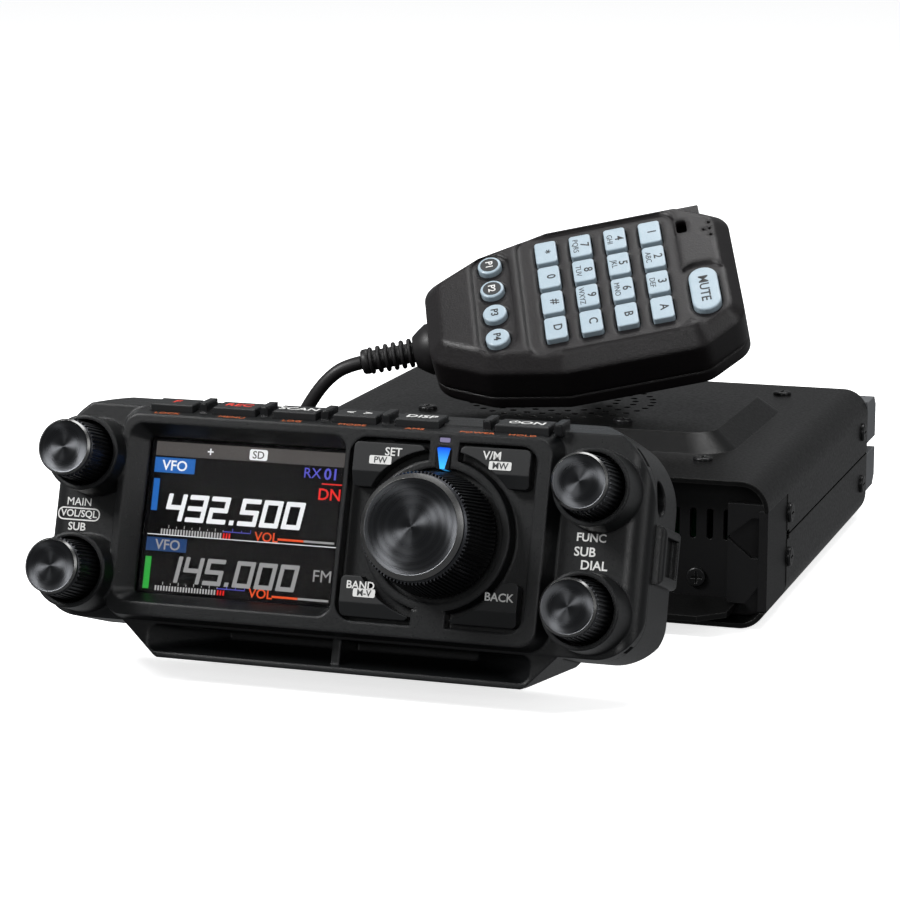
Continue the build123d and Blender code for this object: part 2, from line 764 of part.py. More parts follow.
def mic_body(inset):
    shoulder = loft([mic_sketch(inset, -mic_shoulder), mic_sketch(mic_shoulder + inset, -inset)])
    wall = extrude(mic_sketch(inset, -mic_shoulder), -(mic_depth - mic_back_bevel - mic_shoulder))
    bevel_top = -(mic_depth - mic_back_bevel)
    bevel = loft([mic_sketch(inset, bevel_top), mic_sketch(8.0 + inset, -mic_depth + inset)])
    return shoulder + wall + bevel - grip_taper(inset)


mic_keys = {
    "mic_key_star": (0, 0), "mic_key_0": (0, 1), "mic_key_hash": (0, 2), "mic_key_d": (0, 3),
    "mic_key_7": (1, 0), "mic_key_8": (1, 1), "mic_key_9": (1, 2), "mic_key_c": (1, 3),
    "mic_key_4": (2, 0), "mic_key_5": (2, 1), "mic_key_6": (2, 2), "mic_key_b": (2, 3),
    "mic_key_1": (3, 0), "mic_key_2": (3, 1), "mic_key_3": (3, 2), "mic_key_a": (3, 3),
}
program_key_x = -29.6
program_key_pitch = 9.3
program_key_radius = 3.2
mute_at = (25.8, -10.6)
mute_size = (7.6, 16.0)
panel_drop = 0.8
mic_deck = mic_wall + 0.6
led_at = (22.6, 15.2)
ptt_x = (-10.0, 28.0)
ptt_z = (-12.0, -4.8)
ptt_reach = 1.8
ptt_travel = 1.8
exit_depth = 12.5
grip_end = mic_outline[0][0]
boot_bore = 7.2


def mic_key_at(column, row):
    return ((column - 1.5) * mic_key_pitch_x, (1.5 - row) * mic_key_pitch_y)


def program_key_at(row):
    return (program_key_x, (1.5 - row) * program_key_pitch)


def upright(width, height, corner, low, high, at):
    outline = Pos(at[0], at[1]) * RectangleRounded(width, height, corner)
    return extrude(Plane.XY.offset(low) * outline, high - low)


def mic_front_case():
    shell = mic_body(0) - mic_body(mic_wall)
    shell &= block((-80, 80), (-60, 60), (-mic_seam, 10))
    shell -= upright(43.0, 45.0, 4.0, -panel_drop, 5, (-0.6, 0))
    shell -= upright(10.6, 37.5, 4.5, -panel_drop, 5, (program_key_x, 0))
    shell -= upright(13.0, 22.0, 5.5, -panel_drop, 5, mute_at)
    for column, row in mic_keys.values():
        x, y = mic_key_at(column, row)
        shell -= upright(mic_key_size[0] + 2 * key_clearance, mic_key_size[1] + 2 * key_clearance, 1.0,
                         -6, 5, (x, y))
    for row in range(4):
        x, y = program_key_at(row)
        shell -= Pos(x, y, 0) * Cylinder(program_key_radius + key_clearance, 12)
    shell -= upright(mute_size[0] + 2 * key_clearance, mute_size[1] + 2 * key_clearance,
                     mute_size[0] / 2 + 0.2, -6, 5, mute_at)
    shell -= upright(2.8, 5.0, 0.8, -6, 5, led_at)
    for x, y in ((28.4, 12.4), (30.0, 10.0), (30.0, 12.4), (30.0, 14.8)):
        shell -= Pos(x, y, 0) * Cylinder(0.5, 12)
    low_y = mic_half_width - mic_wall - 4.8
    shell -= block((ptt_x[0] - key_clearance, ptt_x[1] + key_clearance), (low_y, 60),
                   (ptt_z[0] - key_clearance, ptt_z[1] + key_clearance))
    shell -= Pos(grip_end, 0, -exit_depth) * Rot(0, 90, 0) * Cylinder(boot_bore / 2 + 0.02, 12)
    return shell


def mic_back_case():
    shell = mic_body(0) - mic_body(mic_wall)
    shell &= block((-80, 80), (-60, 60), (-80, -mic_seam))
    shell -= Pos(grip_end, 0, -exit_depth) * Rot(0, 90, 0) * Cylinder(boot_bore / 2 + 0.02, 12)
    shell -= Pos(stud_x, 0, -mic_depth) * Cylinder(1.6, 12)
    return shell


stud_x = -4.0


def mic_hanger_stud():
    neck = Pos(stud_x, 0, -mic_depth - stud_reach / 2) * Cylinder(stud_neck_radius, stud_reach)
    head = Pos(stud_x, 0, -mic_depth - stud_reach + 1.2) * Cylinder(stud_radius, 2.4)
    head = fillet(head.edges().filter_by(GeomType.CIRCLE), 0.6)
    screw = Pos(stud_x, 0, -mic_depth + 2.0) * Cylinder(1.55, 6.0)
    return neck + head + screw


def mic_key(column, row):
    x, y = mic_key_at(column, row)
    low = -mic_deck - 1.2
    key = upright(mic_key_size[0], mic_key_size[1], 0.9, low, mic_key_rise - panel_drop, (x, y))
    return fillet(key.faces().sort_by(Axis.Z)[-1].edges(), 0.35)


def program_key(row):
    x, y = program_key_at(row)
    height = mic_key_rise - panel_drop + mic_deck + 1.2
    key = Pos(x, y, mic_key_rise - panel_drop - height / 2) * Cylinder(program_key_radius, height)
    return fillet(key.edges().filter_by(GeomType.CIRCLE).sort_by(Axis.Z)[-1], 0.5)


def mute_key():
    low = -mic_deck - 1.2
    high = mic_key_rise - panel_drop
    key = upright(mute_size[0], mute_size[1], mute_size[0] / 2 - 0.05, low, high, mute_at)
    return fillet(key.faces().sort_by(Axis.Z)[-1].edges(), 0.5)


def push_to_talk():
    outer_y = mic_half_width + ptt_reach
    inner_y = mic_half_width - mic_wall + ptt_travel - 3.6
    bar = block(ptt_x, (inner_y, outer_y), ptt_z)
    bar = fillet(bar.faces().sort_by(Axis.Y)[-1].edges(), 1.6)
    return bar


boot_length = 19.5
boot_base_radius = 6.6
boot_tip_radius = 3.3


def mic_strain_relief():
    base = Pos(grip_end, 0, -exit_depth) * Rot(0, -90, 0)
    collar = base * Pos(0, 0, -2.5) * Cylinder(boot_bore / 2, 5.0)
    flare = base * Pos(0, 0, 3.0) * Cone(boot_base_radius, boot_tip_radius + 1.0, 6.0)
    tail = base * Pos(0, 0, boot_length / 2 + 0.05) * Cylinder(boot_tip_radius, boot_length - 0.1)
    return collar + flare + tail


# ---------------------------------------------------------------- microphone cord
cord_gap = 0.3
boot_tip = mic_place * Pos(grip_end - boot_length - cord_gap, 0, -exit_depth)
boot_tip_point = tuple(boot_tip.position)
jack_y = plate_front + 1.5
plug_front = plate_front - 7.0
plug_boot = 9.0
plug_tip = (jack_block_at[0], plug_front - plug_boot, jack_block_at[1])


def mic_plug():
    body = slab(9.6, 7.6, 0.8, jack_y + 6.0, plug_front, jack_block_at)
    boot = cone(3.6, cord_radius + 0.8, plug_front + 0.1, plug_tip[1], jack_block_at)
    latch = slab(4.0, 1.4, 0.3, plate_front - 0.6, plug_front, (jack_block_at[0], jack_block_at[1] + 4.4))
    return body + boot + latch


def route_tube(points, name):
    radii = []
    for before, here, after in zip(points, points[1:], points[2:]):
        first = Vector(*here) - Vector(*before)
        second = Vector(*after) - Vector(*here)
        shorter = min(first.length, second.length)
        turn = math.radians(first.get_angle(second))
        radii.append(0.45 * shorter / math.tan(turn / 2))
    path = FilletPolyline(*points, radius=radii)
    start = Plane(origin=points[0], z_dir=(Vector(*points[1]) - Vector(*points[0])))
    tube = sweep(start * Circle(cord_radius), path=path)
    expected = math.pi * cord_radius ** 2 * path.length
    print(name, "arc radii", [round(r, 1) for r in radii])
    print(name, "length", round(path.length, 1))
    print(name, "volume", round(tube.volume, 1), "expected", round(expected, 1))
    return tube


# The unseen rest of the cord, wound in two layers: its solid is the outer shape of the turns.
coil_width = 3 * cord_diameter
coil_height = 2 * cord_diameter


def mic_cord_coil():
    place = Pos(coil_centre[0], coil_centre[1], coil_height / 2)
    outer = Cylinder(coil_radius + coil_width / 2, coil_height)
    inner = Cylinder(coil_radius - coil_width / 2, coil_height + 2)
    return place * (outer - inner)


# From the microphone's strain relief over the body's left edge and down to the coil.
upper_route = [
    boot_tip_point,
    (-57.6, -15.8, body_height + 13.6),
    (-62.0, -16.6, body_height + 10.5),
    (-66.3, -16.9, body_height + 5.3),
    (-71.2, -16.3, body_height - 2.9),
    (-75.0, -14.2, 23.6),
    (-77.6, -9.3, 13.9),
    (-79.6, -1.8, 7.7),
    (-80.7, 7.4, 5.6),
]
# From the coil forward along the floor, behind the head, and up to the plug in the front plate.
lower_route = [
    (-106.0, -18.5, 2.1),
    (-95.0, -20.0, 2.3),
    (-86.0, -28.0, 2.2),
    (-81.5, -41.0, 2.5),
    (-79.0, -57.0, 2.4),
    (-75.0, -72.0, 3.2),
    (-72.5, -83.5, 5.0),
    (-64.0, -92.0, 8.0),
    (-52.5, -92.5, 11.0),
    (-44.0, -84.5, 13.6),
    plug_tip,
]


if __name__ == "__main__":
    save(body_chassis(), "body_chassis")
    save(top_cover(), "top_cover")
    save(bottom_cover(), "bottom_cover")
    save(fan_frame(), "fan_frame")
    save(fan_rotor(), "fan_rotor")
    save(antenna_socket(), "antenna_socket")
    save(body_circuit_board(), "body_circuit_board")
    save(body_screws(), "body_screws")
    save(head_bracket(), "head_bracket")

    save(head_front_case(), "head_front_case")
    place_and_save(head_place, head_rear_case(), "head_rear_case")
    place_and_save(head_place, display_window(), "display_window")
    place_and_save(head_place, display_module(), "display_module")
    place_and_save(head_place, status_lens(), "status_lens")
    place_and_save(head_place, head_circuit_board(), "head_circuit_board")
    place_and_save(head_place, loudspeaker(), "loudspeaker")
    place_and_save(head_place, knob(dial_radius, dial_taper, dial_reach, dial_centre, pad_floor - 1.9), "main_dial")
    knob_names = ("knob_upper_left", "knob_upper_right", "knob_lower_left", "knob_lower_right")
    for name, at in zip(knob_names, knob_places()):
        place_and_save(head_place, knob(knob_radius, knob_taper, knob_reach, at, pad_floor - 0.6), name)
    for name in pad_edges:
        place_and_save(head_place, pad(name), name)
    for number, (x, width) in enumerate(zip(key_row, key_widths), start=1):
        save(top_key(x, width), "top_key_" + str(number))

    place_and_save(mic_place, mic_front_case(), "mic_front_case")
    place_and_save(mic_place, mic_back_case(), "mic_back_case")
    place_and_save(mic_place, mic_hanger_stud(), "mic_hanger_stud")
    place_and_save(mic_place, mic_strain_relief(), "mic_strain_relief")
    for name, (column, row) in mic_keys.items():
        place_and_save(mic_place, mic_key(column, row), name)
    for row in range(4):
        place_and_save(mic_place, program_key(row), "mic_program_key_" + str(row + 1))
    place_and_save(mic_place, mute_key(), "mic_mute_key")
    place_and_save(mic_place, push_to_talk(), "mic_talk_key")

    cord = group([route_tube(upper_route, "upper cord"), route_tube(lower_route, "lower cord")])
    save(cord, "mic_cord")
    save(mic_cord_coil(), "mic_cord_coil")
    save(mic_plug(), "mic_plug")
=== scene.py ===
import bpy
import math
from mathutils import Matrix, Vector


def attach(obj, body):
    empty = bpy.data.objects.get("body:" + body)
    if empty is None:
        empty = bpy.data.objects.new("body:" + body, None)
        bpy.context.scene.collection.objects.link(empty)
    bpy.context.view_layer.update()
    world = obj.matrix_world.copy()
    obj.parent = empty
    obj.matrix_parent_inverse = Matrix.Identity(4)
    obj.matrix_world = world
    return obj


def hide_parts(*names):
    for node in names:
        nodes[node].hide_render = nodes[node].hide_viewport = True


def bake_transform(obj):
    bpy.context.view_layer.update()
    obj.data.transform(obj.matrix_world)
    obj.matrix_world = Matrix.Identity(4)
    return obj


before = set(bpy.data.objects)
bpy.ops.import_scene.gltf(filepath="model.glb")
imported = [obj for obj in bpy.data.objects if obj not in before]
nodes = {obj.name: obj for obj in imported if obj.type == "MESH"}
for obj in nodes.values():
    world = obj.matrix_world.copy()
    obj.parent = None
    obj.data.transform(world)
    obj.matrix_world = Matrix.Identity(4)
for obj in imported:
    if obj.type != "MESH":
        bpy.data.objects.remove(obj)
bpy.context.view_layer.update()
scene = bpy.context.scene
mm = 0.001
print("stage: frame loaded")

# The head's, the microphone's and the world's own axes, used to place every new piece
head = {"across": -12.0, "faceY": -146.2, "faceZ": 37.27, "tilt": 18.4}
headMatrix = Matrix.Translation((head["across"] * mm, head["faceY"] * mm, head["faceZ"] * mm)) \
    @ Matrix.Rotation(math.radians(-head["tilt"]), 4, "X")
# turns a drawing so that it lies on the face, its front towards the operator
outOfFace = Matrix.Rotation(math.radians(90), 4, "X")
microphone = {"origin": (11.0, -5.0, 75.0), "long": (0.947, 0.251, 0.200), "normal": (-0.012, -0.594, 0.804)}
micZ = Vector(microphone["normal"]).normalized()
micX = (Vector(microphone["long"]) - micZ * Vector(microphone["long"]).dot(micZ)).normalized()
micY = micZ.cross(micX)
micTurn = Matrix((micX, micY, micZ)).transposed().to_4x4()
micMatrix = Matrix.Translation(Vector(microphone["origin"]) * mm) @ micTurn


# Camera
view = {"azimuth": 18.09, "elevation": 11.5, "lens": 121.04, "place": (0.2182, -0.7698, 0.1905)}
cameraData = bpy.data.cameras.new("camera")
cameraData.lens = view["lens"]
cameraData.sensor_width = 36.0
cameraData.clip_start = 0.02
camera = bpy.data.objects.new("camera", cameraData)
camera.location = view["place"]
camera.rotation_euler = (math.radians(90 - view["elevation"]), 0, math.radians(view["azimuth"]))
scene.collection.objects.link(camera)
scene.camera = camera


# Small tools
def clearSelection():
    bpy.ops.object.select_all(action="DESELECT")


def seat(piece, matrix):
    # the place goes into the mesh, so that the object itself stays at the origin
    clearSelection()
    piece.select_set(True)
    bpy.context.view_layer.objects.active = piece
    piece.matrix_world = matrix @ piece.matrix_world
    bpy.ops.object.transform_apply(location=True, rotation=True, scale=True)
    return piece


def joined(pieces, name):
    clearSelection()
    for piece in pieces:
        piece.select_set(True)
    bpy.context.view_layer.objects.active = pieces[0]
    if len(pieces) > 1:
        bpy.ops.object.join()
    pieces[0].name = name
    return pieces[0]


def facesWhere(piece, test):
    for polygon in piece.data.polygons:
        polygon.select = test(polygon)


def selectFacesAndEdit(piece, test):
    clearSelection()
    piece.select_set(True)
    bpy.context.view_layer.objects.active = piece
    bpy.ops.object.mode_set(mode="EDIT")
    bpy.ops.mesh.select_mode(type="FACE")
    bpy.ops.mesh.select_all(action="DESELECT")
    bpy.ops.object.mode_set(mode="OBJECT")
    facesWhere(piece, test)
    bpy.ops.object.mode_set(mode="EDIT")


def turned(name, stations, sides):
    # a lathe-turned shape: a disc drawn out station by station along +Z, sizes in mm
    clearSelection()
    height, radius = stations[0]
    bpy.ops.mesh.primitive_circle_add(vertices=sides, radius=radius * mm, fill_type="NGON",
                                      location=(0, 0, height * mm))
    piece = bpy.context.object
    piece.name = name
    bpy.ops.object.transform_apply(location=True, rotation=True, scale=True)
    bpy.ops.object.mode_set(mode="EDIT")
    bpy.ops.mesh.select_all(action="SELECT")
    for nextHeight, nextRadius in stations[1:]:
        bpy.ops.mesh.extrude_region_move(TRANSFORM_OT_translate={"value": (0, 0, (nextHeight - height) * mm)})
        grow = nextRadius / radius
        if abs(grow - 1) > 1e-6:
            bpy.ops.transform.resize(value=(grow, grow, 1), center_override=(0, 0, nextHeight * mm))
        height, radius = nextHeight, nextRadius
    bpy.ops.mesh.select_all(action="SELECT")
    bpy.ops.mesh.normals_make_consistent(inside=False)
    bpy.ops.object.mode_set(mode="OBJECT")
    return piece


def lettering(text, capHeight, place, bold=0.0, lean=0.0, wide=1.0, thick=0.05, gap=1.0, align="CENTER"):
    clearSelection()
    bpy.ops.object.text_add(location=(0, 0, 0))
    words = bpy.context.object
    words.data.body = text
    words.data.size = capHeight / 0.7 * mm
    words.data.align_x = align
    words.data.align_y = "CENTER"
    words.data.offset = bold * mm
    words.data.shear = lean
    words.data.space_character = gap
    words.data.extrude = thick / 2 * mm
    words.data.resolution_u = 3
    bpy.ops.object.convert(target="MESH")
    mesh = bpy.context.object
    middle = (max(v.co.y for v in mesh.data.vertices) + min(v.co.y for v in mesh.data.vertices)) / 2
    return seat(mesh, place @ Matrix.Diagonal((wide, 1, 1, 1)) @ Matrix.Translation((0, -middle, 0)))


def plate(width, height, round_, place, ring=0.0, thick=0.05):
    # a thin printed panel with rounded corners, or its outline where a ring width is given
    clearSelection()
    bpy.ops.mesh.primitive_plane_add(size=1, location=(0, 0, -thick / 2 * mm))
    piece = bpy.context.object
    piece.scale = (width * mm, height * mm, 1)
    bpy.ops.object.transform_apply(location=True, rotation=True, scale=True)
    bpy.ops.object.mode_set(mode="EDIT")
    bpy.ops.mesh.select_all(action="SELECT")
    if round_:
        bpy.ops.mesh.bevel(offset=round_ * mm, segments=5, affect="VERTICES")
        bpy.ops.mesh.select_all(action="SELECT")
    if ring:
        bpy.ops.mesh.inset(thickness=ring * mm)
        bpy.ops.mesh.delete(type="FACE")
        bpy.ops.mesh.select_all(action="SELECT")
    bpy.ops.mesh.extrude_region_move(TRANSFORM_OT_translate={"value": (0, 0, thick * mm)})
    bpy.ops.mesh.select_all(action="SELECT")
    bpy.ops.mesh.normals_make_consistent(inside=False)
    bpy.ops.object.mode_set(mode="OBJECT")
    return seat(piece, place)


def keep(piece, body, finish, replacing=()):
    piece.data.materials.clear()
    piece.data.materials.append(finish)
    if replacing:
        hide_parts(*replacing)
    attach(piece, body)
    return piece


# Materials
def hexColour(value):
    parts = [int(value[i:i + 2], 16) / 255 for i in (1, 3, 5)]
    return tuple(p / 12.92 if p <= 0.04045 else ((p + 0.055) / 1.055) ** 2.4 for p in parts) + (1.0,)


def addNode(tree, kind, settings=None, links=None):
    node = tree.nodes.new(kind)
    for key, value in (settings or {}).items():
        if isinstance(key, str) and hasattr(node, key):
            setattr(node, key, value)
        else:
            node.inputs[key].default_value = value
    for key, source in (links or {}).items():
        tree.links.new(source, node.inputs[key])
    return node


def startFinish(name):
    finish = bpy.data.materials.new(name)
    finish.use_nodes = True
    tree = finish.node_tree
    shader = tree.nodes["Principled BSDF"]
    return finish, tree, shader


def surfaceFinish(name, look):
    # One recipe for moulded, painted and cast surfaces: two close colours in soft patches, grain that
    # changes both height and gloss, and edges that are slightly rounded and rubbed lighter.
    finish, tree, shader = startFinish(name)
    where = addNode(tree, "ShaderNodeTexCoord").outputs["Object"]
    patches = addNode(tree, "ShaderNodeTexNoise", {"Scale": 1 / (look["patch"] * mm), "Detail": 3.0},
                      {"Vector": where})
    grain = addNode(tree, "ShaderNodeTexNoise", {"Scale": 1 / (look["grain"] * mm), "Detail": 2.0,
                                                 "Roughness": 0.6}, {"Vector": where})
    colour = addNode(tree, "ShaderNodeMix", {"data_type": "RGBA", 6: hexColour(look["colour"]),
                                             7: hexColour(look["second"])}, {0: patches.outputs["Fac"]})
    rounded = addNode(tree, "ShaderNodeBevel", {"samples": 4, "Radius": look.get("edge", 0.25) * mm})
    plain = addNode(tree, "ShaderNodeNewGeometry")
    sameness = addNode(tree, "ShaderNodeVectorMath", {"operation": "DOT_PRODUCT"},
                       {0: rounded.outputs["Normal"], 1: plain.outputs["Normal"]})
    rubbed = addNode(tree, "ShaderNodeMapRange", {"From Min": 0.995, "From Max": 0.9, "To Min": 0.0,
                                                  "To Max": look.get("wear", 0.25)},
                     {"Value": sameness.outputs["Value"]})
    worn = addNode(tree, "ShaderNodeMix", {"data_type": "RGBA", 7: hexColour(look.get("rubbed", "#77787A"))},
                   {0: rubbed.outputs["Result"], 6: colour.outputs[2]})
    gloss = addNode(tree, "ShaderNodeMapRange", {"From Min": 0.3, "From Max": 0.7,
                                                 "To Min": look["gloss"][0], "To Max": look["gloss"][1]},
                    {"Value": grain.outputs["Fac"]})
    bump = addNode(tree, "ShaderNodeBump", {"Strength": look.get("strength", 0.5),
                                            "Distance": look["depth"] * mm},
                   {"Height": grain.outputs["Fac"], "Normal": rounded.outputs["Normal"]})
    tree.links.new(worn.outputs[2], shader.inputs["Base Color"])
    tree.links.new(gloss.outputs["Result"], shader.inputs["Roughness"])
    tree.links.new(bump.outputs["Normal"], shader.inputs["Normal"])
    shader.inputs["Metallic"].default_value = look.get("metallic", 0.0)
    shader.inputs["Coat Weight"].default_value = look.get("coat", 0.0)
    shader.inputs["Coat Roughness"].default_value = look.get("coatGloss", 0.2)
    shader.inputs["Transmission Weight"].default_value = look.get("clear", 0.0)
    shader.inputs["Subsurface Weight"].default_value = look.get("depthLight", 0.0)
    shader.inputs["Subsurface Radius"].default_value = (0.001, 0.001, 0.001)
    shader.inputs["Specular IOR Level"].default_value = look.get("sheen", 0.5)
    if "paintedBefore" in look:
        # enamel covers everything forward of a line across the casting
        parts = addNode(tree, "ShaderNodeSeparateXYZ", {}, {0: where})
        painted = addNode(tree, "ShaderNodeMath", {"operation": "LESS_THAN", 1: look["paintedBefore"] * mm},
                          {0: parts.outputs["Y"]})
        covered = addNode(tree, "ShaderNodeMix", {"data_type": "RGBA", 7: hexColour(look["paint"])},
                          {0: painted.outputs["Value"], 6: worn.outputs[2]})
        bare = addNode(tree, "ShaderNodeMapRange", {"To Min": look["metallic"], "To Max": 0.0},
                       {"Value": painted.outputs["Value"]})
        tree.links.new(covered.outputs[2], shader.inputs["Base Color"])
        tree.links.new(bare.outputs["Result"], shader.inputs["Metallic"])
    return finish


finishLooks = {
    # ABS, spark-eroded mould: a fine satin grain that breaks the highlights on the head's rims
    "sparkedAbsBlack": {"colour": "#0B0C0D", "second": "#111213", "patch": 18, "grain": 0.32, "depth": 0.05,
                        "gloss": (0.27, 0.42), "edge": 0.9, "wear": 0.12, "rubbed": "#3C3D40", "strength": 0.4,
                        "sheen": 0.32},
    # ABS with a coarser leather-like grain and a warm black, on the hand microphone
    "grainedAbsWarmBlack": {"colour": "#100E0F", "second": "#191617", "patch": 14, "grain": 0.5, "depth": 0.08,
                            "gloss": (0.28, 0.44), "edge": 2.0, "wear": 0.12, "rubbed": "#343132",
                            "strength": 0.45, "sheen": 0.34},
    # baked enamel on pressed steel sheet: nearly smooth, with long soft highlights along the bends
    "bakedEnamelBlack": {"colour": "#060606", "second": "#0B0B0B", "patch": 30, "grain": 0.8, "depth": 0.03,
                         "gloss": (0.3, 0.42), "edge": 0.35, "wear": 0.2, "rubbed": "#6E6E6C",
                         "strength": 0.25, "sheen": 0.16},
    # the chassis casting: bead-blasted aluminium, bare on the heat sink and black enamel forward of it
    "chassisCasting": {"colour": "#77797C", "second": "#8B8D90", "patch": 9, "grain": 0.25, "depth": 0.03,
                       "gloss": (0.38, 0.55), "edge": 0.3, "wear": 0.3, "rubbed": "#D5D6D6", "metallic": 0.85,
                       "paintedBefore": 64.0, "paint": "#0A0A0B", "sheen": 0.25},
    # moulded keys with a slightly greyer, drier face than the case around them
    "mouldedKeyBlack": {"colour": "#131415", "second": "#1A1B1C", "patch": 8, "grain": 0.3, "depth": 0.02,
                        "gloss": (0.38, 0.52), "edge": 0.4, "wear": 0.15, "rubbed": "#46474A", "strength": 0.3,
                        "sheen": 0.32},
    # silicone rubber: dull and slightly soft at the edges
    "mouldedRubberBlack": {"colour": "#111011", "second": "#191718", "patch": 6, "grain": 0.25, "depth": 0.02,
                           "gloss": (0.38, 0.55), "edge": 0.25, "wear": 0.15, "rubbed": "#3A3839",
                           "strength": 0.3, "sheen": 0.35},
    # backlit polycarbonate: milky and cool, with light sinking in at the edges
    "milkyPolycarbonate": {"colour": "#93A4AF", "second": "#A1B0B9", "patch": 3, "grain": 0.2, "depth": 0.01,
                           "gloss": (0.25, 0.35), "edge": 0.3, "wear": 0.35, "rubbed": "#CFDAE0",
                           "depthLight": 0.15, "strength": 0.2},
    # clear polycarbonate of the modular plug
    "clearPolycarbonate": {"colour": "#D8DEE2", "second": "#E6EAEC", "patch": 4, "grain": 0.3, "depth": 0.01,
                           "gloss": (0.05, 0.12), "edge": 0.2, "wear": 0.1, "clear": 0.6, "strength": 0.1},
    # zinc-plated steel, chromated black on the screws
    "blackZincSteel": {"colour": "#131314", "second": "#1E1E1F", "patch": 2, "grain": 0.2, "depth": 0.01,
                       "gloss": (0.25, 0.4), "edge": 0.15, "wear": 0.5, "rubbed": "#8A8A89", "metallic": 0.5},
    # plain plated steel and nickel, bright with a brushed haze
    "platedSteel": {"colour": "#8C8C8B", "second": "#A2A2A0", "patch": 4, "grain": 0.2, "depth": 0.01,
                    "gloss": (0.2, 0.34), "edge": 0.2, "wear": 0.4, "rubbed": "#E2E2DE", "metallic": 1.0},
    # glass-fibre laminate under a green mask
    "solderMaskGreen": {"colour": "#0E4A2C", "second": "#146038", "patch": 4, "grain": 0.4, "depth": 0.02,
                        "gloss": (0.25, 0.4), "edge": 0.2, "wear": 0.3, "rubbed": "#B9A66A"},
    # pad-printed ink: flat and slightly raised
    "printedInkWhite": {"colour": "#C9C9C7", "second": "#D6D6D4", "patch": 2, "grain": 0.1, "depth": 0.005,
                        "gloss": (0.45, 0.6), "edge": 0.02, "wear": 0.0},
    "printedInkRed": {"colour": "#C8281C", "second": "#DB3A2A", "patch": 2, "grain": 0.1, "depth": 0.005,
                      "gloss": (0.45, 0.6), "edge": 0.02, "wear": 0.0},
    "printedInkOrange": {"colour": "#B2542A", "second": "#C8683A", "patch": 2, "grain": 0.1, "depth": 0.005,
                         "gloss": (0.45, 0.6), "edge": 0.02, "wear": 0.0},
    "printedInkDark": {"colour": "#1B1D1F", "second": "#242628", "patch": 2, "grain": 0.1, "depth": 0.005,
                       "gloss": (0.45, 0.6), "edge": 0.02, "wear": 0.0},
    # knurled skirts: aluminium anodised black, each ridge catching a little light
    "knurledAnodisedBlack": {"colour": "#3A3B3D", "second": "#45464A", "patch": 3, "grain": 0.25, "depth": 0.01,
                             "gloss": (0.3, 0.42), "edge": 0.1, "wear": 0.3, "rubbed": "#8A8B8E",
                             "metallic": 1.0},
    # edge of a turned cap, diamond cut through the anodising to plain metal
    "diamondCutEdge": {"colour": "#6A6A6A", "second": "#777776", "patch": 1.5, "grain": 0.15, "depth": 0.005,
                       "gloss": (0.26, 0.34), "edge": 0.1, "wear": 0.2, "rubbed": "#B4B4B2", "metallic": 1.0},
}
finishes = {name: surfaceFinish(name, look) for name, look in finishLooks.items()}


def spunFinish(name, centre):
    # aluminium turned on a lathe and anodised black: the tool marks run round the centre, which draws
    # bright fans across the disc
    finish, tree, shader = startFinish(name)
    where = addNode(tree, "ShaderNodeTexCoord").outputs["Object"]
    spoke = addNode(tree, "ShaderNodeVectorMath", {"operation": "SUBTRACT", 1: centre}, {0: where})
    axis = headMatrix.to_3x3() @ Vector((0, -1, 0))
    around = addNode(tree, "ShaderNodeVectorMath", {"operation": "CROSS_PRODUCT", 1: axis},
                     {0: spoke.outputs["Vector"]})
    along = addNode(tree, "ShaderNodeVectorMath", {"operation": "NORMALIZE"}, {0: around.outputs["Vector"]})
    far = addNode(tree, "ShaderNodeVectorMath", {"operation": "LENGTH"}, {0: spoke.outputs["Vector"]})
    # tool marks 0.55 mm apart, coarser than real ones so that they show
    steps = addNode(tree, "ShaderNodeMath", {"operation": "MULTIPLY", 1: 2 * math.pi / (0.55 * mm)},
                    {0: far.outputs["Value"]})
    marks = addNode(tree, "ShaderNodeMath", {"operation": "SINE"}, {0: steps.outputs["Value"]})
    bump = addNode(tree, "ShaderNodeBump", {"Strength": 0.12, "Distance": 0.01 * mm},
                   {"Height": marks.outputs["Value"]})
    gloss = addNode(tree, "ShaderNodeMapRange", {"From Min": -1.0, "From Max": 1.0, "To Min": 0.27,
                                                 "To Max": 0.3}, {"Value": marks.outputs["Value"]})
    tone = addNode(tree, "ShaderNodeMix", {"data_type": "RGBA", 6: hexColour("#3A3B3D"),
                                           7: hexColour("#3F4042")}, {0: marks.outputs["Value"]})
    tree.links.new(tone.outputs[2], shader.inputs["Base Color"])
    tree.links.new(gloss.outputs["Result"], shader.inputs["Roughness"])
    tree.links.new(bump.outputs["Normal"], shader.inputs["Normal"])
    tree.links.new(along.outputs["Vector"], shader.inputs["Tangent"])
    shader.inputs["Metallic"].default_value = 1.0
    shader.inputs["Anisotropic"].default_value = 0.92
    return finish


def litFinish(name, colour, strength, second=None):
    # light from behind a colour filter: even, with a faint cell pattern
    finish, tree, shader = startFinish(name)
    where = addNode(tree, "ShaderNodeTexCoord").outputs["Object"]
    cells = addNode(tree, "ShaderNodeTexNoise", {"Scale": 1 / (0.5 * mm), "Detail": 1.0}, {"Vector": where})
    glow = addNode(tree, "ShaderNodeMix", {"data_type": "RGBA", 6: hexColour(colour),
                                           7: hexColour(second or colour)}, {0: cells.outputs["Fac"]})
    tree.links.new(glow.outputs[2], shader.inputs["Emission Color"])
    shader.inputs["Base Color"].default_value = hexColour("#050505")
    shader.inputs["Specular IOR Level"].default_value = 0.1
    shader.inputs["Emission Strength"].default_value = strength
    shader.inputs["Roughness"].default_value = 0.5
    return finish


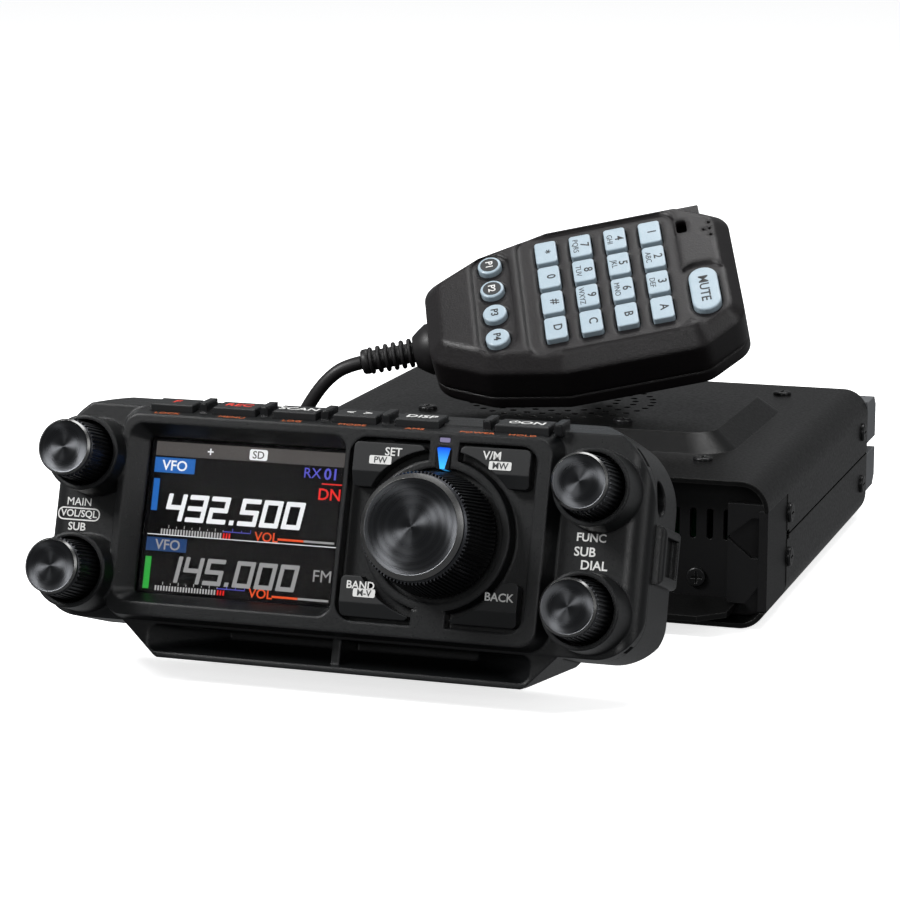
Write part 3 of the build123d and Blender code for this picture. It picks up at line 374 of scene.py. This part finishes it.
lit = {
    "screenWhite": litFinish("backlitWhite", "#F2F4F6", 1.0, "#E8EAEC"),
    "screenGrey": litFinish("backlitGrey", "#8A8A8A", 1.0, "#949494"),
    "screenCells": litFinish("backlitCellGrey", "#A6A6A6", 1.0, "#B0B0B0"),
    "screenStatus": litFinish("backlitStatusGrey", "#4A4746", 1.0, "#504D4B"),
    "screenBlue": litFinish("backlitBlue", "#1F5FAE", 1.0, "#2668B8"),
    "screenDimBlue": litFinish("backlitDimBlue", "#1E3A66", 1.0, "#244272"),
    "screenViolet": litFinish("backlitViolet", "#5050C0", 1.0, "#5A5ACC"),
    "screenGreen": litFinish("backlitGreen", "#2A9A36", 1.0, "#30A43E"),
    "screenRed": litFinish("backlitRed", "#DC1E1E", 1.0, "#E62A24"),
    "screenOrange": litFinish("backlitOrange", "#DA481C", 1.0, "#E45426"),
    "screenBlack": litFinish("unlitScreen", "#060507", 0.3, "#080709"),
}


def windowFinish():
    # float glass with an anti-reflection coat: a faint sheen over the screen
    finish, tree, shader = startFinish("coatedWindowGlass")
    where = addNode(tree, "ShaderNodeTexCoord").outputs["Object"]
    haze = addNode(tree, "ShaderNodeTexNoise", {"Scale": 1 / (9 * mm), "Detail": 2.0}, {"Vector": where})
    gloss = addNode(tree, "ShaderNodeMapRange", {"To Min": 0.02, "To Max": 0.06},
                    {"Value": haze.outputs["Fac"]})
    tree.links.new(gloss.outputs["Result"], shader.inputs["Roughness"])
    shader.inputs["Base Color"].default_value = hexColour("#FFFFFF")
    shader.inputs["Transmission Weight"].default_value = 1.0
    shader.inputs["IOR"].default_value = 1.05
    return finish


statusLens = {"middle": 24.6, "low": 14.4, "high": 19.4, "lowHalf": 0.5, "highHalf": 1.6, "sensorAbove": 20.0}


def statusFinish():
    # a blue light-pipe shaped as a wedge in a black mask, and a grey sensor window above it, whose glow is
    # painted light
    finish, tree, shader = startFinish("lightPipeBlue")
    where = addNode(tree, "ShaderNodeTexCoord").outputs["Object"]
    local = addNode(tree, "ShaderNodeMapping", {"vector_type": "POINT",
                                                "Rotation": (math.radians(head["tilt"]), 0, 0)},
                    {"Vector": addNode(tree, "ShaderNodeVectorMath",
                                       {"operation": "SUBTRACT", 1: headMatrix.translation},
                                       {0: where}).outputs["Vector"]})
    parts = addNode(tree, "ShaderNodeSeparateXYZ", {}, {0: local.outputs["Vector"]})
    off = addNode(tree, "ShaderNodeMath", {"operation": "SUBTRACT", 1: statusLens["middle"] * mm},
                  {0: parts.outputs["X"]})
    aside = addNode(tree, "ShaderNodeMath", {"operation": "ABSOLUTE"}, {0: off.outputs["Value"]})
    half = addNode(tree, "ShaderNodeMapRange", {"From Min": statusLens["low"] * mm,
                                                "From Max": statusLens["high"] * mm,
                                                "To Min": statusLens["lowHalf"] * mm,
                                                "To Max": statusLens["highHalf"] * mm},
                   {"Value": parts.outputs["Z"]})
    inside = addNode(tree, "ShaderNodeMath", {"operation": "LESS_THAN"},
                     {0: aside.outputs["Value"], 1: half.outputs["Result"]})
    upper = addNode(tree, "ShaderNodeMath", {"operation": "GREATER_THAN", 1: statusLens["sensorAbove"] * mm},
                    {0: parts.outputs["Z"]})
    fade = addNode(tree, "ShaderNodeMapRange", {"From Min": statusLens["low"] * mm,
                                                "From Max": statusLens["high"] * mm},
                   {"Value": parts.outputs["Z"]})
    blue = addNode(tree, "ShaderNodeMix", {"data_type": "RGBA", 6: hexColour("#3CB4FF"),
                                           7: hexColour("#0A46C8")}, {0: fade.outputs["Result"]})
    masked = addNode(tree, "ShaderNodeMix", {"data_type": "RGBA", 6: hexColour("#0A0A0C")},
                     {0: inside.outputs["Value"], 7: blue.outputs[2]})
    final = addNode(tree, "ShaderNodeMix", {"data_type": "RGBA", 7: hexColour("#6A6580")},
                    {0: upper.outputs["Value"], 6: masked.outputs[2]})
    tree.links.new(final.outputs[2], shader.inputs["Base Color"])
    # the emission takes the whole lens colour: the light-pipe's glow stands for its lamp, while the grey sensor
    # window's glow is painted light, as the sensor is no lamp
    tree.links.new(final.outputs[2], shader.inputs["Emission Color"])
    shader.inputs["Emission Strength"].default_value = 0.45
    shader.inputs["Roughness"].default_value = 0.15
    return finish


finishes["coatedWindowGlass"] = windowFinish()
finishes["lightPipeBlue"] = statusFinish()

nodeFinish = {
    "body_chassis": "chassisCasting", "top_cover": "bakedEnamelBlack", "bottom_cover": "bakedEnamelBlack",
    "head_bracket": "bakedEnamelBlack", "body_screws": "blackZincSteel", "antenna_socket": "platedSteel",
    "mic_hanger_stud": "platedSteel", "loudspeaker": "platedSteel", "body_circuit_board": "solderMaskGreen",
    "head_circuit_board": "solderMaskGreen", "display_window": "coatedWindowGlass",
    "status_lens": "lightPipeBlue", "mic_plug": "clearPolycarbonate", "fan_frame": "sparkedAbsBlack",
    "fan_rotor": "sparkedAbsBlack", "head_front_case": "sparkedAbsBlack", "head_rear_case": "sparkedAbsBlack",
    "mic_front_case": "grainedAbsWarmBlack", "mic_back_case": "grainedAbsWarmBlack",
    "mic_talk_key": "mouldedRubberBlack", "mic_mute_key": "milkyPolycarbonate",
}
for name, node in nodes.items():
    if name.startswith(("mic_key_", "mic_program_key_")):
        choice = "milkyPolycarbonate"
    elif name.startswith(("pad_", "top_key_")):
        choice = "mouldedKeyBlack"
    else:
        choice = nodeFinish.get(name, "sparkedAbsBlack")
    node.data.materials.clear()
    node.data.materials.append(finishes[choice])
print("stage: finishes made")


# Microphone cord
cord = {"diameter": 3.8, "coilCentre": (-106.0, 6.0), "outerRadius": 24.8, "innerRadius": 17.3,
        "upperLayer": 5.7, "lowerLayer": 1.9, "turns": 3.74, "firstAngle": 3.0, "pointsPerTurn": 18}
gripEnd = micMatrix @ Vector((-48.5 * mm, 0, -12.5 * mm))
bootTip = micMatrix @ Vector((-68.3 * mm, 0, -12.5 * mm))
upperRoute = [
    tuple(bootTip / mm), (-57.6, -15.8, 50.3), (-62.0, -16.6, 47.2), (-66.3, -16.9, 42.0),
    (-71.2, -16.3, 33.8), (-75.0, -14.2, 23.6), (-77.6, -9.3, 13.9), (-79.6, -1.8, 7.7),
]
lowerRoute = [
    (-95.0, -20.0, 2.3), (-86.0, -28.0, 2.2), (-81.5, -41.0, 2.5), (-79.0, -57.0, 2.4),
    (-75.0, -72.0, 3.2), (-72.5, -83.5, 5.0), (-64.0, -92.0, 8.0), (-52.5, -92.5, 11.0),
    (-44.0, -84.5, 13.6), (-44.0, -74.0, 14.0),
]
coilPoints = []
stepCount = round(cord["turns"] * cord["pointsPerTurn"])
for step in range(stepCount + 1):
    done = step / stepCount
    angle = math.radians(cord["firstAngle"] + 360 * cord["turns"] * done)
    inward = 1 - abs(2 * done - 1)
    reach = cord["outerRadius"] + (cord["innerRadius"] - cord["outerRadius"]) * inward
    sink = min(max((done - 0.47) / 0.06, 0.0), 1.0)
    height = cord["upperLayer"] + (cord["lowerLayer"] - cord["upperLayer"]) * sink
    coilPoints.append((cord["coilCentre"][0] + reach * math.cos(angle),
                       cord["coilCentre"][1] + reach * math.sin(angle), height))
route = upperRoute + coilPoints + lowerRoute


def routeCurve(name, points):
    curve = bpy.data.curves.new(name, "CURVE")
    curve.dimensions = "3D"
    spline = curve.splines.new("NURBS")
    spline.points.add(len(points) - 1)
    for slotPoint, point in zip(spline.points, points):
        slotPoint.co = (point[0] * mm, point[1] * mm, point[2] * mm, 1.0)
    spline.order_u = 3
    spline.use_endpoint_u = True
    spline.resolution_u = 6
    thing = bpy.data.objects.new(name, curve)
    scene.collection.objects.link(thing)
    bpy.context.view_layer.update()
    return thing


routeLine = routeCurve("cord_route", route)
lineMesh = bpy.data.meshes.new_from_object(routeLine.evaluated_get(bpy.context.evaluated_depsgraph_get()))
routeLine.data.bevel_depth = cord["diameter"] / 2 * mm
routeLine.data.bevel_resolution = 3
routeLine.data.use_fill_caps = True
clearSelection()
routeLine.select_set(True)
bpy.context.view_layer.objects.active = routeLine
bpy.ops.object.convert(target="MESH")
micCord = bpy.context.object
micCord.name = "microphone_cord"
bpy.ops.object.shade_smooth()
micCord.data.materials.clear()
micCord.data.materials.append(finishes["mouldedRubberBlack"])
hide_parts("mic_cord", "mic_cord_coil")
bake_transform(micCord)

# Strain relief: a flared root, six ribs and an end ring, moulded on the cord
boot = {"root": 7.0, "neck": 4.2, "rib": 3.95, "valley": 2.7, "pitch": 2.15, "ribs": 6, "length": 19.5}
bootStations = [(-5.0, 3.55), (0.02, 3.55), (0.02, boot["root"]), (1.2, boot["root"] - 0.1), (3.2, 5.6),
                (5.0, boot["neck"]), (5.2, boot["valley"])]
for rib in range(boot["ribs"]):
    middle = 6.2 + rib * boot["pitch"]
    width = boot["rib"] - 0.06 * rib
    bootStations += [(middle - 0.6, boot["valley"]), (middle - 0.5, width - 0.25), (middle - 0.25, width),
                     (middle + 0.25, width), (middle + 0.5, width - 0.25), (middle + 0.6, boot["valley"])]
bootStations += [(17.5, boot["valley"]), (17.6, 3.3), (17.9, 3.45), (19.1, 3.35), (boot["length"], 3.0),
                 (boot["length"], 0.4)]
strainRelief = turned("strain_relief", bootStations, 40)
bpy.ops.object.shade_smooth_by_angle(angle=math.radians(40))
seat(strainRelief, Matrix.Translation(gripEnd) @ micTurn @ Matrix.Rotation(math.radians(-90), 4, "Y"))
keep(strainRelief, "microphone", finishes["mouldedRubberBlack"], ["mic_strain_relief"])


# Dial and knobs
dial = {"at": (24.6, -0.2), "ridges": 90, "ridgeDepth": 0.55, "face": 10.6,
        "stations": [(-5.2, 3.0), (2.6, 3.0), (2.9, 12.9), (3.3, 13.5), (4.2, 13.6), (19.8, 11.9),
                     (20.3, 11.35), (20.8, 11.35), (21.0, 11.7), (21.9, 11.7), (22.7, 10.75), (22.8, 10.6),
                     (22.74, 10.4), (22.6, 7.0), (22.5, 3.0), (22.45, 0.4)], "skirt": (4.2, 19.8)}
smallKnob = {"ridges": 40, "ridgeDepth": 0.36, "face": 5.95,
             "stations": [(-5.2, 3.0), (1.4, 3.0), (1.6, 6.4), (2.0, 6.7), (3.0, 6.8), (17.6, 6.15),
                          (18.0, 5.85), (18.3, 5.85), (18.4, 6.2), (19.4, 6.35), (19.85, 5.98), (19.95, 5.9),
                          (19.9, 5.75), (19.82, 3.0), (19.78, 0.3)], "skirt": (3.0, 17.6)}


def knurledKnob(name, shape):
    knob = turned(name, shape["stations"], 2 * shape["ridges"])
    low, high = shape["skirt"]
    sector = math.pi / shape["ridges"]

    def isRidge(polygon):
        centre = polygon.center
        onSkirt = low * mm < centre.z < high * mm and centre.xy.length > 0.5 * shape["stations"][4][1] * mm
        turn = math.atan2(centre.y, centre.x) % (2 * math.pi)
        return onSkirt and int(turn / sector) % 2 == 0

    selectFacesAndEdit(knob, isRidge)
    bpy.ops.mesh.inset(thickness=0.06 * mm, depth=shape["ridgeDepth"] * mm, use_individual=True)
    bpy.ops.object.mode_set(mode="OBJECT")
    clearSelection()
    knob.select_set(True)
    bpy.context.view_layer.objects.active = knob
    bpy.ops.object.shade_smooth_by_angle(angle=math.radians(25))
    return knob


def dressKnob(knob, shape, at, body, node):
    centre = headMatrix @ Vector((at[0] * mm, 0, at[1] * mm))
    knob.data.materials.clear()
    knob.data.materials.append(finishes["knurledAnodisedBlack"])
    knob.data.materials.append(finishes["diamondCutEdge"])
    knob.data.materials.append(spunFinish("spunAnodised_" + node, centre))
    top = shape["stations"][-5][0]
    for polygon in knob.data.polygons:
        across = polygon.center.xy.length / mm
        height = polygon.center.z / mm
        if polygon.normal.z > 0.9 and height > top - 1.0 and across < shape["face"]:
            polygon.material_index = 2
        elif height > shape["stations"][-7][0] and across > shape["face"] - 0.1 and polygon.normal.z > 0.3:
            polygon.material_index = 1
    seat(knob, headMatrix @ Matrix.Translation((at[0] * mm, 0, at[1] * mm)) @ outOfFace)
    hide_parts(node)
    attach(knob, body)


knobPlaces = {"knob_upper_left": (-60.3, 12.4), "knob_upper_right": (60.3, 12.4),
              "knob_lower_left": (-60.3, -14.6), "knob_lower_right": (60.3, -14.6)}
mainDial = knurledKnob("tuning_dial", dial)
dressKnob(mainDial, dial, dial["at"], "main_dial", "main_dial")
firstKnob = knurledKnob("turned_knob", smallKnob)
for node, at in knobPlaces.items():
    knob = firstKnob.copy()
    knob.data = firstKnob.data.copy()
    knob.name = "turned_" + node
    scene.collection.objects.link(knob)
    dressKnob(knob, smallKnob, at, node, node)
bpy.data.objects.remove(firstKnob)
print("stage: dial and knobs")


# Display
screen = {"left": -46.4, "width": 46.3, "top": 17.2, "height": 34.4, "depth": 0.62}


def onFace(across, up, depth):
    return headMatrix @ Matrix.Translation((across * mm, depth * mm, up * mm)) @ outOfFace


def onScreen(a, b, lift=0.0):
    across = screen["left"] + screen["width"] * a
    up = screen["top"] - screen["height"] * b
    return onFace(across, up, screen["depth"] - lift)


def bar(a0, a1, b0, b1, lift=0.0, round_=0.0):
    return plate((a1 - a0) * screen["width"], (b1 - b0) * screen["height"], round_,
                 onScreen((a0 + a1) / 2, (b0 + b1) / 2, lift), thick=0.02)


def screenText(text, a, b, capHeight, **more):
    return lettering(text, capHeight, onScreen(a, b, 0.03), thick=0.02, **more)


def strokeDigits(text, a, b, size, stroke, lean):
    # square digits drawn from seven strokes, each leaning over, as on a segment-style readout
    height, width, pitch = size
    segments = {"0": "abcdef", "1": "bc", "2": "abged", "3": "abgcd", "4": "fgbc", "5": "afgcd"}
    side = (width - stroke) / 2
    rise = (height - stroke) / 4
    rails = {"a": (0, 2 * rise), "g": (0, 0), "d": (0, -2 * rise)}
    posts = {"f": (-side, rise), "b": (side, rise), "e": (-side, -rise), "c": (side, -rise)}
    total = sum(stroke * 2 if sign == "." else pitch for sign in text)
    cursor = -total / 2
    strokes = []
    for sign in text:
        if sign == ".":
            strokes.append(plate(stroke, stroke, 0.0, Matrix.Translation((
                (cursor + stroke) * mm, (stroke - height) / 2 * mm, 0)), thick=0.02))
            cursor += stroke * 2
            continue
        middle = cursor + pitch / 2
        for part in segments[sign]:
            flat = part in rails
            x, y = rails[part] if flat else posts[part]
            wide = width if flat else stroke
            tall = stroke if flat else 2 * rise + stroke
            place = Matrix.Translation(((middle + x) * mm, y * mm, 0))
            strokes.append(plate(wide, tall, stroke * 0.24, place, thick=0.02))
        cursor += pitch
    digits = joined(strokes, "digits")
    slant = Matrix.Identity(4)
    slant[0][1] = lean
    digits.data.transform(onScreen(a, b, 0.03) @ slant)
    return digits


def meterTicks(start, end, base, count):
    ticks = []
    for tick in range(count):
        a = start + (end - start) * tick / (count - 1)
        ticks.append(bar(a - 0.0015, a + 0.0015, base - (0.02 if tick % 2 == 0 else 0.012), base, 0.01))
    return ticks


def meterCells(start, end, b0, b1, count):
    step = (end - start) / count
    return [bar(start + step * cell, start + step * (cell + 0.52), b0, b1, 0.01) for cell in range(count)]


screenGroups = {
    "screenStatus": lambda: [bar(0.0, 1.0, 0.0, 0.095)],
    "screenWhite": lambda: [
        strokeDigits("432.500", 0.447, 0.437, (6.3, 4.6, 5.35), 1.08, 0.16),
        screenText("VFO", 0.108, 0.158, 2.3, bold=0.05), bar(0.0, 1.0, 0.622, 0.627, 0.01),
        plate(4.4, 2.5, 0.5, onScreen(0.545, 0.05, 0.02), thick=0.02)]
        + [screenText("+", 0.29, 0.05, 2.0, bold=0.05)],
    "screenCells": lambda: meterCells(0.07, 0.4, 0.585, 0.622, 22) + meterTicks(0.11, 0.4, 0.578, 8)
        + meterCells(0.07, 0.4, 0.965, 0.998, 22) + meterTicks(0.11, 0.4, 0.958, 8),
    "screenBlue": lambda: [bar(0.0, 0.215, 0.107, 0.208), bar(0.004, 0.036, 0.25, 0.465)],
    "screenDimBlue": lambda: [bar(0.0, 0.215, 0.645, 0.735)],
    "screenViolet": lambda: [
        screenText("RX", 0.835, 0.145, 2.3), screenText("01", 0.935, 0.145, 2.5, bold=0.06)]
        + [bar(0.4, 0.545, 0.572, 0.577, 0.01), bar(0.4, 0.545, 0.952, 0.957, 0.01)]
        + meterTicks(0.45, 0.545, 0.572, 3) + meterTicks(0.45, 0.545, 0.952, 3),
    "screenRed": lambda: [
        screenText("DN", 0.935, 0.28, 2.6, bold=0.04), bar(0.89, 0.995, 0.208, 0.216, 0.01)]
        + meterCells(0.402, 0.447, 0.585, 0.622, 3) + meterCells(0.402, 0.447, 0.965, 0.998, 3),
    "screenOrange": lambda: [
        screenText("VOL", 0.63, 0.59, 2.1, bold=0.03), bar(0.69, 0.825, 0.592, 0.606, 0.01),
        screenText("VOL", 0.63, 0.966, 2.1, bold=0.03), bar(0.69, 0.825, 0.972, 0.986, 0.01)],
    "screenGreen": lambda: [bar(0.004, 0.036, 0.775, 0.99)],
    "screenGrey": lambda: [
        strokeDigits("145.000", 0.455, 0.85, (6.1, 4.5, 5.3), 1.0, 0.16),
        screenText("VFO", 0.115, 0.69, 2.3, bold=0.04), screenText("FM", 0.94, 0.82, 2.7),
        bar(0.826, 0.985, 0.592, 0.606, 0.01), bar(0.826, 0.985, 0.972, 0.986, 0.01)],
}
for group, build in screenGroups.items():
    keep(joined(build(), "display_" + group), "radio", lit[group])
cardMark = screenText("SD", 0.545, 0.05, 1.7, bold=0.03)
cardMark.location = (0, 0, 0)
cardMark.name = "display_card_mark"
keep(cardMark, "radio", lit["screenStatus"])
cardMark.data.transform(Matrix.Translation(headMatrix.to_3x3() @ Vector((0, -0.03 * mm, 0))))

cell = {"size": (48.4, 5.0, 36.0), "middle": (-23.3, 3.2, 0.0), "rim": 0.9, "step": 0.05}
# the panel behind the window: a dark glass cell in a thin metal frame, set back to leave the graphics room
clearSelection()
bpy.ops.mesh.primitive_cube_add(size=1, location=(0, 0, 0))
panel = bpy.context.object
panel.name = "display_cell"
panel.scale = Vector(cell["size"]) * mm
bpy.ops.object.transform_apply(location=True, rotation=True, scale=True)
selectFacesAndEdit(panel, lambda polygon: polygon.normal.y < -0.9)
bpy.ops.mesh.inset(thickness=cell["rim"] * mm, depth=0.0)
bpy.ops.mesh.inset(thickness=cell["step"] * mm, depth=-cell["step"] * mm)
bpy.ops.object.mode_set(mode="OBJECT")
seat(panel, headMatrix @ Matrix.Translation(Vector(cell["middle"]) * mm))
keep(panel, "radio", lit["screenBlack"], ["display_module"])
print("stage: display")


# Printed legends
legendDepth = 0.47  # just proud of the side columns, which stand 0.5 mm behind the face line
columnLegends = [
    lettering("FUNC", 1.8, onFace(58.8, 2.2, legendDepth), bold=0.05),
    lettering("SUB", 2.0, onFace(57.6, -1.0, legendDepth), bold=0.05),
    lettering("DIAL", 2.0, onFace(59.9, -3.9, legendDepth), bold=0.05),
    lettering("MAIN", 1.8, onFace(-64.2, 1.9, legendDepth), bold=0.0),
    lettering("VOL/SQL", 1.6, onFace(-64.0, -1.0, legendDepth), bold=0.03),
    plate(10.6, 3.0, 1.4, onFace(-64.0, -1.0, legendDepth), ring=0.3),
    lettering("SUB", 1.8, onFace(-64.2, -3.9, legendDepth), bold=0.04),
]
keep(joined(columnLegends, "column_legends"), "radio", finishes["printedInkWhite"])

padDepth = -5.63
padLegends = {
    "pad_upper_left": (("SET", 13.2, 17.6, 1.8), ("PW", 10.3, 15.6)),
    "pad_upper_right": (("V/M", 36.2, 18.2, 1.8), ("MW", 38.2, 16.0)),
    "pad_lower_left": (("BAND", 8.6, -12.6, 1.7), ("M-V", 9.6, -14.3)),
    "pad_lower_right": (("BACK", 40.8, -12.9, 1.8), None),
}
for node, (main, boxed) in padLegends.items():
    white = [lettering(main[0], main[3], onFace(main[1], main[2], padDepth), bold=0.04)]
    if boxed:
        white.append(plate(5.2, 1.9, 0.35, onFace(boxed[1], boxed[2], padDepth)))
        dark = lettering(boxed[0], 1.4, onFace(boxed[1], boxed[2], padDepth - 0.04), bold=0.03)
        dark.name = node + "_box_letters"
        keep(dark, node, finishes["printedInkDark"])
    keep(joined(white, node + "_legend"), node, finishes["printedInkWhite"])

# legends on the keys along the head's top, readable from the front
topKeys = {"x": (-42.6, -27.2, -12.5, 2.0, 16.9, 41.3), "y": -136.9, "z": 62.34,
           "words": ("F", "REC", "SCAN", "<  >", "DISP", "ON"),
           "ink": ("Red", "Red", "White", "White", "White", "White")}
for number, (x, word, ink) in enumerate(zip(topKeys["x"], topKeys["words"], topKeys["ink"]), start=1):
    place = Matrix.Translation(((head["across"] + x) * mm, topKeys["y"] * mm, topKeys["z"] * mm))
    shift = 1.6 if word == "ON" else 0.0
    parts = [lettering(word, 2.6, place @ Matrix.Translation((shift * mm, 0, 0)), bold=0.06)]
    if word == "ON":
        spot = place @ Matrix.Translation((-2.6 * mm, 0, 0))
        parts.append(plate(2.6, 2.6, 1.25, spot, ring=0.35))
        parts.append(plate(0.4, 1.5, 0.0, spot @ Matrix.Translation((0, 0.9 * mm, 0))))
    keep(joined(parts, "top_key_legend_" + str(number)), "top_key_" + str(number),
         finishes["printedInk" + ink])
edgeWords = ((-43.1, "LOCK"), (-27.2, "MENU"), (-12.5, "LOG"), (2.0, "MODE"), (16.9, "AMS"), (31.5, "POWER"),
             (42.0, "HOLD"))
edgeLegends = []
for x, word in edgeWords:
    place = Matrix.Translation(((head["across"] + x) * mm, -142.0 * mm, 60.47 * mm)) \
        @ Matrix.Rotation(math.radians(5.2), 4, "X")
    edgeLegends.append(lettering(word, 1.1, place, wide=1.5))
keep(joined(edgeLegends, "edge_legends"), "radio", finishes["printedInkOrange"])

# microphone legends read with the microphone's cord end to the left of the row
keyTop = 0.72
pitch = {"across": 9.4, "down": 9.8, "program": 9.3}
programColumn = -29.6
keypad = {"star": (0, 0, "*", ""), "0": (0, 1, "0", ""), "hash": (0, 2, "#", ""), "d": (0, 3, "D", ""),
          "7": (1, 0, "7", "PQRS"), "8": (1, 1, "8", "TUV"), "9": (1, 2, "9", "WXYZ"), "c": (1, 3, "C", ""),
          "4": (2, 0, "4", "GHI"), "5": (2, 1, "5", "JKL"), "6": (2, 2, "6", "MNO"), "b": (2, 3, "B", ""),
          "1": (3, 0, "1", ""), "2": (3, 1, "2", "ABC"), "3": (3, 2, "3", "DEF"), "a": (3, 3, "A", "")}


def onMic(x, y, z, spin=-90.0):
    turn = Matrix.Rotation(math.radians(spin), 4, "Z")
    return micMatrix @ Matrix.Translation((x * mm, y * mm, z * mm)) @ turn


for key, (column, row, digit, letters) in keypad.items():
    x, y = (column - 1.5) * pitch["across"], (1.5 - row) * pitch["down"]
    parts = [lettering(digit, 2.3, onMic(x + (1.2 if letters else 0.6), y, keyTop), bold=0.05)]
    if letters:
        parts.append(lettering(letters, 1.5, onMic(x - 1.4, y, keyTop)))
    node = "mic_key_" + key
    keep(joined(parts, node + "_legend"), node, finishes["printedInkDark"])
for number in range(1, 5):
    x, y = programColumn, (2.5 - number) * pitch["program"]
    node = "mic_program_key_" + str(number)
    words = lettering("P" + str(number), 1.9, onMic(x, y, keyTop + 0.06), bold=0.04)
    words.name = node + "_legend"
    if number < 3:
        disc = plate(4.9, 4.9, 2.4, onMic(x, y, keyTop))
        disc.name = node + "_disc"
        keep(disc, node, finishes["printedInkDark"])
        keep(words, node, finishes["printedInkWhite"])
    else:
        keep(words, node, finishes["printedInkDark"])
mute = lettering("MUTE", 2.5, onMic(25.8, -10.6, keyTop), bold=0.05, wide=1.05)
mute.name = "mic_mute_legend"
keep(mute, "mic_mute_key", finishes["printedInkDark"])
print("stage: legends")


# Stage and light
clearSelection()
bpy.ops.mesh.primitive_plane_add(size=12.0, location=(0, 2.0, -0.0002))
floor = bpy.context.object
floor.name = "floor"
paper, paperTree, paperShader = startFinish("matPaper")
paperGrain = addNode(paperTree, "ShaderNodeTexNoise", {"Scale": 400.0},
                     {"Vector": addNode(paperTree, "ShaderNodeTexCoord").outputs["Object"]})
paperTone = addNode(paperTree, "ShaderNodeMix", {"data_type": "RGBA", 6: hexColour("#F4F4F4"),
                                                 7: hexColour("#F8F8F8")}, {0: paperGrain.outputs["Fac"]})
paperTree.links.new(paperTone.outputs[2], paperShader.inputs["Base Color"])
paperShader.inputs["Roughness"].default_value = 0.9
paperShader.inputs["Specular IOR Level"].default_value = 0.1
paperShader.inputs["Emission Color"].default_value = hexColour("#F6F6F6")
paperShader.inputs["Emission Strength"].default_value = 0.8
floor.data.materials.append(paper)
floor.visible_glossy = False  # the black enamel mirrors the dim room instead of the bright paper
floor.visible_diffuse = False

lamps = {
    "keySoftbox": {"place": (-0.75, -0.75, 0.9), "size": (0.45, 0.35), "power": 20.0},
    "overhead": {"place": (0.1, 0.35, 1.1), "size": (0.9, 0.5), "power": 9.0},
    "rightFill": {"place": (0.95, -0.35, 0.45), "size": (0.25, 0.6), "power": 1.8},
    "frontFill": {"place": (0.25, -1.4, 0.55), "size": (0.5, 0.3), "power": 3.0},
}
for name, lamp in lamps.items():
    data = bpy.data.lights.new(name, "AREA")
    data.shape = "RECTANGLE"
    data.size, data.size_y = lamp["size"]
    data.energy = lamp["power"]
    light = bpy.data.objects.new(name, data)
    light.location = lamp["place"]
    aim = Vector((0, -0.04, 0.04)) - Vector(lamp["place"])
    light.rotation_euler = aim.to_track_quat("-Z", "Y").to_euler()
    scene.collection.objects.link(light)
world = bpy.data.worlds.new("studio")
world.use_nodes = True
world.node_tree.nodes["Background"].inputs["Color"].default_value = hexColour("#F2F4F6")
world.node_tree.nodes["Background"].inputs["Strength"].default_value = 0.25
scene.world = world
scene.view_settings.view_transform = "Standard"
print("stage: floor and light")
